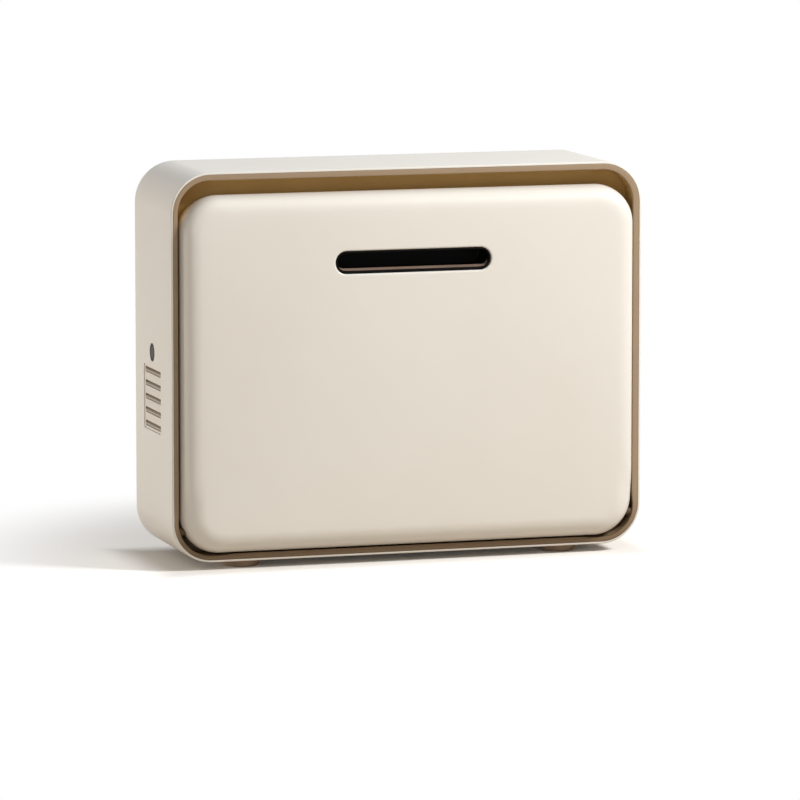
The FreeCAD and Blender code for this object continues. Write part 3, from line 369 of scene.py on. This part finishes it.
def tube(path, radius, turns=16, closed=False):
    # circle carried along a path of points, square to the way at each of them
    path = np.asarray(path, dtype=float)
    if closed:
        way = np.roll(path, -1, axis=0) - np.roll(path, 1, axis=0)
    else:
        way = np.gradient(path, axis=0)
    way /= np.linalg.norm(way, axis=1)[:, None]
    steep = abs(way[0, 2]) > 0.9
    helper = np.array([1.0, 0.0, 0.0]) if steep else np.array([0.0, 0.0, 1.0])
    across = np.cross(way, helper)
    across /= np.linalg.norm(across, axis=1)[:, None]
    upright = np.cross(across, way)
    angle = turnsOf(turns)[:, None, None]
    points = path[None] + radius * (np.cos(angle) * across[None] + np.sin(angle) * upright[None])
    return gridSheet(points, not closed, not closed)


def outlineDistance(x, z, outline):
    # distance to a rounded rectangle, less than 0 inside it
    half, low, high, corner = outline
    overX = np.abs(x) - (half - corner)
    overZ = np.abs(z - (low + high) / 2) - ((high - low) / 2 - corner)
    outside = np.hypot(np.maximum(overX, 0), np.maximum(overZ, 0))
    return outside + np.minimum(np.maximum(overX, overZ), 0) - corner


halvings = 44
farthest = 0.5  # metres, outside every outline


def ringAt(turns, centreZ, outline, inset):
    # where rays from (0, centreZ) meet the outline drawn in by inset, found by halving
    near, far = np.zeros_like(turns), np.full_like(turns, farthest)
    for _ in range(halvings):
        middle = (near + far) / 2
        within = outlineDistance(middle * np.cos(turns), centreZ + middle * np.sin(turns), outline) < -inset
        near, far = np.where(within, middle, near), np.where(within, far, middle)
    return np.stack([near * np.cos(turns), centreZ + near * np.sin(turns)], axis=-1)


def atDepth(ring, depth):
    return np.stack([ring[:, 0], np.broadcast_to(depth, ring.shape[:1]), ring[:, 1]], axis=-1)


# finger slot: sizes shared by the door's skin and the cup in it

slotCup = {
    "halfLength": 0.0483, "halfHeight": 0.00585, "z": 0.1863, "front": -0.04825, "wall": 0.001, "lip": 0.0003,
    "setBack": 0.0010, "throat": 0.005, "depth": 0.020, "rise": 0.007, "corner": 0.008, "floorRound": 0.002,
    "sill": 0.00085, "turns": 360, "lipSteps": 13, "floorSteps": 6,
}
shortOfRound = 0.000001  # metres by which a round end's radius stays under half the slot's height


def slotOutline(grow):
    height = slotCup["halfHeight"] + grow
    z = slotCup["z"]
    return (slotCup["halfLength"] + grow, z - height, z + height, height - shortOfRound)


def throatOutline(grow, rise=0.0):
    # the slot's outline with its lower edge raised
    half, low, high, _ = slotOutline(grow)
    low += slotCup["sill"] + rise
    return (half, low, high, (high - low) / 2 - shortOfRound)


def pocketOutline(grow):
    z, height = slotCup["z"], slotCup["halfHeight"]
    top = z + height + slotCup["rise"] + grow
    return (slotCup["halfLength"] + grow, z - height - grow, top, slotCup["corner"] + grow)


# door skin: a pillow whose face falls away a little towards its edges

doorSkin = {
    "half": 0.1442, "low": 0.01025, "high": 0.2284, "corner": 0.024, "front": -0.04825, "back": -0.02225,
    "edge": 0.014, "wall": 0.0022, "crown": 0.0016, "rimRound": 0.0004, "hingeY": -0.03425, "hingeZ": 0.02425,
    "panelLow": 0.03025, "slotSeat": 0.00115, "slotRound": 0.0011, "fuller": 0.8, "fullerFrom": 0.029, "tuck": 0.0017,
    "crownPower": 4, "faceSpacing": 1.3, "turns": 1080, "slotSteps": 6, "faceSteps": 26, "edgeSteps": 18,
    "wallSteps": 6, "insideSteps": 3,
}


def makeDoorSkin():
    # rings round the finger slot: out over the face, round the soft edge, back along the wall, and forward again
    # inside. The face falls away by crown * (a + b - a * b), a and b being its two coordinates from -1 to 1 to the
    # fourth power
    size = doorSkin
    turns = turnsOf(size["turns"])
    outline = (size["half"], size["low"], size["high"], size["corner"])
    middleZ, halfZ = (size["low"] + size["high"]) / 2, (size["high"] - size["low"]) / 2

    def ringOf(inset):
        return ringAt(turns, slotCup["z"], outline, inset)

    def slotRingOf(grow):
        return ringAt(turns, slotCup["z"], slotOutline(grow), 0)

    def crownAt(ring):
        across = (ring[:, 0] / size["half"]) ** size["crownPower"]
        up = ((ring[:, 1] - middleZ) / halfZ) ** size["crownPower"]
        return size["crown"] * (across + up - across * up)

    def bullnose(points, inset):
        # behind the hinge line the lower edge keeps inside a circle about it
        behind = np.clip(points[:, 1] - size["hingeY"], 0, size["edge"] - inset)
        lowest = size["hingeZ"] - np.sqrt((size["edge"] - inset) ** 2 - behind ** 2)
        points[:, 2] = np.where(behind > 0, np.maximum(points[:, 2], lowest), points[:, 2])
        return points

    slotRing = slotRingOf(size["slotSeat"])
    edgeRing = ringOf(size["edge"])
    rings = []
    quarter = np.linspace(0, np.pi / 2, size["slotSteps"])
    for angle in quarter[:-1]:  # quarter round where the face turns in to the slot
        ring = slotRingOf(size["slotSeat"] + size["slotRound"] * (1 - math.cos(angle)))
        rings.append(atDepth(ring, size["front"] + size["slotRound"] * (1 - math.sin(angle)) + crownAt(ring)))
    faceRing = slotRingOf(size["slotSeat"] + size["slotRound"])
    for share in np.linspace(0, 1, size["faceSteps"]) ** size["faceSpacing"]:
        ring = faceRing + (edgeRing - faceRing) * share
        rings.append(atDepth(ring, size["front"] + crownAt(ring)))
    # the edge's section is a quarter circle below, where the open door lies in the ring, and a fuller superellipse
    # along the sides and top
    outer = ringOf(0)
    above = np.clip((outer[:, 1] - size["fullerFrom"]) / size["corner"], 0, 1)
    power = 2 / (2 + size["fuller"] * eased(above))
    for angle in np.linspace(0, np.pi / 2, size["edgeSteps"])[1:]:
        ring = ringOf(size["edge"] * (1 - math.sin(angle) ** power))
        depth = size["front"] + size["edge"] * (1 - max(math.cos(angle), 0) ** power) + crownAt(ring)
        rings.append(bullnose(atDepth(ring, depth), 0))
    start = size["hingeY"] + crownAt(outer)
    for share in np.linspace(0, 1, size["wallSteps"])[1:]:  # the wall tucks in towards the back
        depth = start + (size["back"] - size["rimRound"] - start) * share
        rings.append(bullnose(atDepth(ringOf(size["tuck"] * share), depth), 0))
    rings.append(bullnose(atDepth(ringOf(size["tuck"] + size["rimRound"]), size["back"]), size["rimRound"]))
    panelRing = ringOf(size["wall"])
    panelRing[:, 1] = np.maximum(panelRing[:, 1], size["panelLow"])
    inside = size["back"] - size["wall"]
    rings += [atDepth(panelRing, size["back"]), atDepth(panelRing, inside)]
    for depth in np.linspace(inside, size["hingeY"] + size["crown"], size["insideSteps"]):
        rings.append(bullnose(atDepth(ringOf(size["wall"]), depth), size["wall"]))
    radius = size["edge"] - size["wall"]
    for angle in np.linspace(np.pi / 2, 0, size["wallSteps"])[1:]:
        ring = ringOf(size["edge"] - radius * math.sin(angle))
        depth = size["front"] + size["edge"] - radius * math.cos(angle) + crownAt(ring)
        rings.append(atDepth(ring, depth))
    rings.append(atDepth(slotRing, size["front"] + size["wall"] + crownAt(slotRing)))
    addPiece("doorSkin", [gridSheet(np.stack(rings, axis=1))], "cream_shell", "door", "door_shell")


makeDoorSkin()


def makeSlotCup():
    # rings from the back of the cup, forward outside it, over its lip, and in to the floor of the pocket
    size = slotCup
    turns = turnsOf(size["turns"])
    front, wall, lip = size["front"], size["wall"], size["lip"]
    rings = []

    def add(outline, depth):
        rings.append(atDepth(ringAt(turns, size["z"], outline, 0), front + depth))

    add(pocketOutline(wall), size["depth"] + wall)
    add(pocketOutline(wall), size["throat"] - wall)
    add(slotOutline(wall), size["throat"] - wall)
    for angle in np.linspace(0, np.pi, size["lipSteps"]):  # lip: half round outside, flat on top
        outward = lip * abs(math.cos(angle))
        outline = slotOutline(wall - lip + outward) if angle < np.pi / 2 else throatOutline(lip - outward)
        add(outline, size["setBack"] + lip * (1 - math.sin(angle)))
    add(throatOutline(0), size["throat"])
    add(pocketOutline(0), size["throat"])
    floorRound = size["floorRound"]
    for angle in np.linspace(0, np.pi / 2, size["floorSteps"]):
        grow = -floorRound * (1 - math.cos(angle))
        add(pocketOutline(grow), size["depth"] - floorRound * (1 - math.sin(angle)))
    sheet = gridSheet(np.stack(rings, axis=1), capStart=True, capEnd=True)
    addPiece("slotCup", [sheet], "dark_gloss", "door", "handle_cup")


makeSlotCup()

# bronze sill along the slot's lower edge
slotSill = {
    "outer": 0.0004, "bury": 0.0003, "rise": 0.0011, "front": 0.00135, "back": 0.0048, "turns": 360, "steps": 6,
}


def makeSlotSill():
    # section: an even slope up and back from the cup's edge; elsewhere it lies within the cup's wall
    size = slotSill
    turns = turnsOf(size["turns"])
    profile = [(throatOutline(size["outer"]), size["back"]), (throatOutline(size["outer"]), size["front"])]
    for share in np.linspace(0, 1, size["steps"]):
        outline = throatOutline(size["bury"], size["bury"] + size["rise"] * share)
        profile.append((outline, size["front"] + (size["back"] - size["front"]) * share))
    rings = [
        atDepth(ringAt(turns, slotCup["z"], outline, 0), slotCup["front"] + depth) for outline, depth in profile
    ]
    piece = addPiece("slotSill", [gridSheet(np.stack(rings, axis=1))], "dark_gloss", "door")
    piece.data.materials[0] = materials["slotBronze"]  # the bronze finish takes the place of the cup's


makeSlotSill()
print("door dressed")

# trim ring at the cabinet's front, with a bead along its inner edge
ringTrim = {
    "half": 0.150, "low": 0.005, "high": 0.2425, "corner": 0.025, "rim": -0.03775, "back": -0.01925, "outer": 0.00145,
    "inner": 0.00405, "bead": 0.0008, "beadLean": 0.0005, "beadFrom": 0.018, "beadFull": 0.040, "beadDepth": 0.0014,
    "taper": 0.0016, "bottomHalf": 0.122, "bottomFade": 0.014, "edgeRound": 0.0004, "turns": 1080, "steps": 5,
}


def makeRingTrim():
    # section carried round the cabinet's outline: plain outside, rounded front edges, and inside a bead that tapers off
    # behind, and in the lower corners, where the open door needs the room
    size = ringTrim
    turns = turnsOf(size["turns"])
    outline = (size["half"], size["low"], size["high"], size["corner"])
    rim, bend = size["rim"], size["edgeRound"]
    middleZ = (size["low"] + size["high"]) / 2
    profile = [(size["outer"], size["back"], False)]
    for angle in np.linspace(0, np.pi / 2, size["steps"]):
        inset = size["outer"] + bend * (1 - math.cos(angle))
        profile.append((inset, rim + bend * (1 - math.sin(angle)), False))
    for angle in np.linspace(np.pi / 2, 0, size["steps"]):
        inset = size["inner"] - bend * (1 - math.cos(angle))
        profile.append((inset, rim + bend * (1 - math.sin(angle)), True))
    beadEnd = rim + size["beadDepth"]
    profile += [(size["inner"], beadEnd, True), (size["inner"], beadEnd + size["taper"], False)]
    profile.append((size["inner"], size["back"], False))
    # the gap beside the door is wider on the left, so the bead is narrower there and wider on the right
    across = ringAt(turns, middleZ, outline, size["inner"])[:, :1]
    sideways = np.clip((np.abs(across) - size["half"] + size["corner"]) / (size["corner"] - size["inner"]), 0, 1)
    lean = np.sign(across) * sideways * size["beadLean"] / size["bead"]
    rings = []
    for inset, depth, beaded in profile:
        ring = ringAt(turns, middleZ, outline, inset)
        if beaded:
            up = np.clip((ring[:, 1:] - size["beadFrom"]) / (size["beadFull"] - size["beadFrom"]), 0, 1)
            along = np.clip((size["bottomHalf"] - np.abs(ring[:, :1])) / size["bottomFade"], 0, 1)
            full = np.maximum(eased(up), eased(along))
            beadRing = ringAt(turns, middleZ, outline, inset + size["bead"])
            ring = ring + (beadRing - ring) * full * (1 + lean)
        rings.append(atDepth(ring, depth))
    piece = addPiece("ringTrim", [gridSheet(np.stack(rings, axis=1))], "champagne_trim", "cabinet", "front_ring")
    # the wall behind the bead and the end face take the recess's finish, with painted bounce light
    piece.data.materials.append(materials["recessPaintedBounce"])
    inWall = np.zeros((size["turns"], len(profile)), dtype=int)
    inWall[:, -2:] = 1  # the wall behind the bead, and the end face
    piece.data.polygons.foreach_set("material_index", inWall.ravel())


makeRingTrim()

# screw heads: a dome on a short wall, with a cross pressed into it

screwHead = {
    "radius": 0.0028, "height": 0.0017, "wall": 0.0006, "cross": 0.0008, "reach": 0.0017, "press": 0.0009,
    "armEdge": 0.0001, "innermost": 0.04, "apart": 0.008, "turns": 64, "steps": 18,
}


def screwHeads(name, places, seat, body, node):
    # height over a disc: a flattened dome, less the cross where a point lies near either arm of it
    size = screwHead
    share = np.linspace(1.0, size["innermost"], size["steps"])[None, :]
    turns = turnsOf(size["turns"])[:, None]
    x, z = share * size["radius"] * np.cos(turns), share * size["radius"] * np.sin(turns)
    dome = size["wall"] + (size["height"] - size["wall"]) * (1 - share ** 4)
    nearArm = np.minimum(np.abs(x), np.abs(z))
    along = np.maximum(np.abs(x), np.abs(z))
    arm = np.clip((size["cross"] / 2 - nearArm) / size["armEdge"] + 0.5, 0, 1)
    fade = np.clip(1 - (along / size["reach"]) ** 3, 0, 1)
    top = np.stack([x, dome - size["press"] * arm * fade, z], axis=-1)
    foot = np.stack([x[:, :1], np.zeros_like(x[:, :1]), z[:, :1]], axis=-1)
    head = np.concatenate([foot, top], axis=1)
    sheets = [
        gridSheet(head + np.array([placeX, seat, placeZ]), capStart=True, capEnd=True) for placeX, placeZ in places
    ]
    addPiece(name, sheets, "screw_steel", body, node, sharpAngle=50)


def headPlaces(node):
    # middle of each screw in a node, from the clusters of its points across X and Z
    points = np.array([vertex.co for vertex in nodes[node].data.vertices])[:, [0, 2]]
    found = []
    while len(points):
        near = np.hypot(*(points - points[0]).T) < screwHead["apart"]
        low, high = points[near].min(axis=0), points[near].max(axis=0)
        found.append(tuple((low + high) / 2))
        points = points[~near]
    return found


for screwNode, screwBody in (("rear_cover_screws", "cabinet"), ("fan_screws", "cabinet"), ("panel_screws", "door")):
    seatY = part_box(screwNode)[1].y - screwHead["height"]
    screwHeads(screwNode + "Head", headPlaces(screwNode), seatY, screwBody, screwNode)
print("screw heads set")

# rack of round wires
rackWires = {
    "half": 0.1211, "front": -0.00925, "back": 0.01925, "z": 0.04905, "wire": 0.0016, "bar": 0.0011, "corner": 0.008,
    "bars": 13, "legInset": 0.030, "floor": 0.04105, "cornerSteps": 10,
}


def makeRack():
    # closed loop of wire with a quarter circle at each corner, straight bars across it, one along it, and four legs
    size = rackWires
    half, corner, z = size["half"], size["corner"], size["z"]
    quarter = np.linspace(0, np.pi / 2, size["cornerSteps"])
    middles = [(half - corner, size["back"] - corner), (corner - half, size["back"] - corner),
               (corner - half, size["front"] + corner), (half - corner, size["front"] + corner)]
    loop = []
    for turn, (x, y) in enumerate(middles):
        angle = quarter + turn * np.pi / 2
        loop.append(np.stack([x + corner * np.cos(angle), y + corner * np.sin(angle), np.full_like(angle, z)], axis=-1))
    sheets = [tube(np.vstack(loop), size["wire"], closed=True)]
    for x in np.linspace(-half, half, size["bars"] + 2)[1:-1]:
        sheets.append(tube([(x, size["front"], z), (x, size["back"], z)], size["bar"]))
    middleY, under = (size["front"] + size["back"]) / 2, z - size["bar"]
    sheets.append(tube([(-half, middleY, under), (half, middleY, under)], size["bar"]))
    for x in (size["legInset"] - half, half - size["legInset"]):
        for y in (size["front"], size["back"]):
            sheets.append(tube([(x, y, size["floor"]), (x, y, z)], size["wire"]))
    addPiece("rackWires", sheets, "chrome_wire", "cabinet", "wire_rack", sharpAngle=60)


makeRack()

# fan rotor with twisted blades
rotorBlades = {
    "y": 0.03785, "z": 0.079, "hub": 0.0086, "front": 0.03445, "back": 0.04125, "hubRound": 0.0012, "root": 0.0080,
    "tip": 0.0182, "chord": 0.0074, "sheet": 0.0009, "rootPitch": 52.0, "tipPitch": 32.0, "blades": 7,
    "turns": 24, "steps": 12, "hubTurns": 64, "roundSteps": 7,
}


def makeRotor():
    # each blade is a thin lens section carried outwards from the hub, turned less and less; the hub is a round cap
    size = rotorBlades
    angle = turnsOf(size["turns"])[:, None]
    out = np.linspace(0, 1, size["steps"])[None]
    radius = size["root"] + (size["tip"] - size["root"]) * out
    pitch = np.radians(size["rootPitch"] + (size["tipPitch"] - size["rootPitch"]) * out)
    along, across = size["chord"] / 2 * np.cos(angle), size["sheet"] / 2 * np.sin(angle)
    x = -along * np.sin(pitch) + across * np.cos(pitch)
    y = size["y"] + along * np.cos(pitch) + across * np.sin(pitch)
    up = np.sqrt(np.maximum(radius ** 2 - x ** 2, 0))
    sheets = []
    for turn in np.arange(size["blades"]) * 2 * np.pi / size["blades"]:
        turnedX = x * np.cos(turn) + up * np.sin(turn)
        turnedZ = up * np.cos(turn) - x * np.sin(turn)
        sheets.append(gridSheet(np.stack([turnedX, y, size["z"] + turnedZ], axis=-1), True, True))
    bend = size["hubRound"]
    profile = [(size["hub"], size["back"])]
    for angle in np.linspace(0, np.pi / 2, size["roundSteps"]):
        profile.append((size["hub"] - bend * (1 - math.cos(angle)), size["front"] + bend * (1 - math.sin(angle))))
    turns = turnsOf(size["hubTurns"])[:, None]
    reach, depth = np.array(profile).T
    hub = np.stack([reach * np.cos(turns), depth + 0 * turns, size["z"] + reach * np.sin(turns)], axis=-1)
    sheets.append(gridSheet(hub, True, True))
    addPiece("rotorBlades", sheets, "dark_matte", "fan_rotor", "fan_rotor", sharpAngle=50)


makeRotor()
print("rack and rotor dressed")

# the solids that stay: joined triangles, smooth where faces nearly agree

smoothing = {"join": 0.000001, "angle": 32.0}


def smoothSolids():
    tree = bpy.data.node_groups.new("joinAndSmooth", "GeometryNodeTree")
    tree.interface.new_socket(name="Geometry", in_out="INPUT", socket_type="NodeSocketGeometry")
    tree.interface.new_socket(name="Geometry", in_out="OUTPUT", socket_type="NodeSocketGeometry")
    takes, gives = addNode(tree, "NodeGroupInput"), addNode(tree, "NodeGroupOutput")
    joined = addNode(
        tree, "GeometryNodeMergeByDistance", {"Geometry": takes.outputs[0], "Distance": smoothing["join"]}
    )
    faces = addNode(
        tree, "GeometryNodeSetShadeSmooth", {"Geometry": joined.outputs[0], "Shade Smooth": True}, domain="FACE"
    )
    bend = addNode(tree, "GeometryNodeInputMeshEdgeAngle").outputs[0]
    soft = addNode(
        tree, "FunctionNodeCompare", {0: bend, 1: math.radians(smoothing["angle"])},
        data_type="FLOAT", operation="LESS_THAN",
    )
    edges = addNode(
        tree, "GeometryNodeSetShadeSmooth", {"Geometry": faces.outputs[0], "Shade Smooth": soft.outputs[0]},
        domain="EDGE",
    )
    tree.links.new(edges.outputs[0], gives.inputs[0])
    return tree


joinAndSmooth = smoothSolids()
# nodes whose finish isn't the one of their slot, among them the recess's flange with painted bounce light and the vent
# with painted shade in its slots
ownFinish = {
    "mouth_flange": "recessPaintedBounce", "side_vent": "ventPaintedShade",
    "hinge_bush_left": "bushBrown", "hinge_bush_right": "bushBrown",
}
for subpart in frame["record"]["subparts"]:
    solid = nodes[subpart["node"]]
    solid.data.materials.clear()
    solid.data.materials.append(materials[ownFinish.get(subpart["node"], subpart["material_slot"])])
    solid.modifiers.new("join", "NODES").node_group = joinAndSmooth
    even = solid.modifiers.new("even", "WEIGHTED_NORMAL")
    even.mode = "FACE_AREA"
    even.keep_sharp = True

# floor, light and camera

stageSet = {
    "floorHalf": 6.0, "floorColour": (203, 191, 175), "floorSeen": (248, 246, 243), "rough": 0.9, "specular": 0.1,
    "floorLift": 0.36, "liftUnder": 0.02, "liftReach": 0.03, "footprint": (0.145, 0.042),
    "fadeStart": 0.16, "fadeEnd": 0.32,
}


def seenRay(tree):
    # 1 where the eye, a reflection or a view through glass looks, 0 where light is gathered
    path = addNode(tree, "ShaderNodeLightPath").outputs
    seen = sums(tree, "ADD", path["Is Camera Ray"], path["Is Glossy Ray"])
    node = addNode(tree, "ShaderNodeMath", {0: seen, 1: path["Is Transmission Ray"]}, operation="ADD", use_clamp=True)
    return node.outputs[0]


def makeFloor():
    half = stageSet["floorHalf"]
    mesh = bpy.data.meshes.new("floor")
    corners = [(-half, -half, 0), (half, -half, 0), (half, half, 0), (-half, half, 0)]
    mesh.from_pydata(corners, [], [(0, 1, 2, 3)])
    floor = bpy.data.objects.new("floor", mesh)
    scene.collection.objects.link(floor)
    material = bpy.data.materials.new("paleFloor")
    material.use_nodes = True
    tree = material.node_tree
    shader = tree.nodes["Principled BSDF"]
    shader.inputs["Roughness"].default_value = stageSet["rough"]
    shader.inputs["Specular IOR Level"].default_value = stageSet["specular"]
    shader.inputs["Emission Color"].default_value = white
    seen = seenRay(tree)
    colour = blendColour(tree, seen, tint(*stageSet["floorColour"]), tint(*stageSet["floorSeen"]))
    tree.links.new(colour, shader.inputs["Base Color"])
    # the lift grows with distance from the cabinet's footprint, so that the shadow under it stays
    beyond = [
        sums(tree, "SUBTRACT", sums(tree, "ABSOLUTE", axis, 0.0), reach)
        for axis, reach in zip(objectAxes(tree), stageSet["footprint"])
    ]
    clear = spread(
        tree, sums(tree, "MAXIMUM", *beyond), 0.0, stageSet["liftReach"],
        stageSet["liftUnder"], stageSet["floorLift"], "SMOOTHSTEP",
    )
    tree.links.new(sums(tree, "MULTIPLY", seen, clear), shader.inputs["Emission Strength"])
    # white paper takes over smoothly with distance from the middle, so that the shadow stays and no horizon shows
    away = addNode(tree, "ShaderNodeVectorMath", {0: objectPlace(tree)}, operation="LENGTH").outputs["Value"]
    fade = spread(tree, away, stageSet["fadeStart"], stageSet["fadeEnd"], shape="SMOOTHSTEP")
    paper = addNode(tree, "ShaderNodeEmission", {0: white, 1: 1.0})
    mixed = addNode(
        tree, "ShaderNodeMixShader",
        {0: sums(tree, "MULTIPLY", seen, fade), 1: shader.outputs[0], 2: paper.outputs[0]},
    )
    tree.links.new(mixed.outputs[0], tree.nodes["Material Output"].inputs["Surface"])
    mesh.materials.append(material)


makeFloor()

lamps = {
    "key": {
        "place": (0.881, -0.704, 0.982), "aim": (0.0, -0.04, 0.12), "size": 0.30, "watts": 19.0,
        "colour": (255, 255, 255),
    },
    "overhead": {
        "place": (0.0, -0.36, 0.80), "aim": (0.0, -0.04, 0.12), "size": 0.5, "watts": 0.7,
        "colour": (255, 255, 255),
    },
    "leftFill": {
        "place": (-0.62, 0.26, 0.07), "aim": (-0.10, 0.0, 0.06), "size": 0.13, "watts": 1.13,
        "colour": (255, 244, 230),
    },
    "frontFill": {
        "place": (-0.80, -1.00, 0.40), "aim": (0.0, 0.0, 0.12), "size": 0.8, "watts": 2.4,
        "colour": (255, 250, 243),
    },
}
ambient = {"colour": (255, 252, 247), "strength": 0.16}


def makeLight():
    for name, lamp in lamps.items():
        light = bpy.data.lights.new(name, "AREA")
        light.shape = "SQUARE"
        light.size = lamp["size"]
        light.energy = lamp["watts"]
        light.color = tint(*lamp["colour"])[:3]
        holder = bpy.data.objects.new(name, light)
        holder.location = lamp["place"]
        aim = Vector(lamp["aim"]) - Vector(lamp["place"])
        holder.rotation_euler = aim.to_track_quat("-Z", "Y").to_euler()
        scene.collection.objects.link(holder)
    world = bpy.data.worlds.new("studio")
    world.use_nodes = True
    tree = world.node_tree
    tree.nodes.clear()
    room = addNode(tree, "ShaderNodeBackground", {0: tint(*ambient["colour"]), 1: ambient["strength"]})
    paper = addNode(tree, "ShaderNodeBackground", {0: white, 1: 1.0})
    mixed = addNode(tree, "ShaderNodeMixShader", {0: seenRay(tree), 1: room.outputs[0], 2: paper.outputs[0]})
    addNode(tree, "ShaderNodeOutputWorld", {0: mixed.outputs[0]})
    scene.world = world


makeLight()

# found by fitting the cabinet's edges in the photograph
cameraPlace = {
    "azimuth": -17.195, "elevation": 7.5239, "focalPixels": 5887.9, "imagePixels": 800, "sensor": 36.0,
    "distance": 3.5952, "target": (-0.005758, -0.03775, 0.099845), "clipEnd": 50,
}


def makeCamera():
    data = bpy.data.cameras.new("camera")
    data.sensor_fit = "HORIZONTAL"
    data.sensor_width = cameraPlace["sensor"]
    data.lens = cameraPlace["focalPixels"] * cameraPlace["sensor"] / cameraPlace["imagePixels"]
    data.clip_end = cameraPlace["clipEnd"]
    around, above = math.radians(cameraPlace["azimuth"]), math.radians(cameraPlace["elevation"])
    back = Vector((math.sin(around) * math.cos(above), -math.cos(around) * math.cos(above), math.sin(above)))
    camera = bpy.data.objects.new("camera", data)
    camera.location = Vector(cameraPlace["target"]) + back * cameraPlace["distance"]
    camera.rotation_euler = (-back).to_track_quat("-Z", "Y").to_euler()
    scene.collection.objects.link(camera)
    scene.camera = camera


makeCamera()
scene.view_settings.view_transform = "Standard"
print("floor, light and camera set")
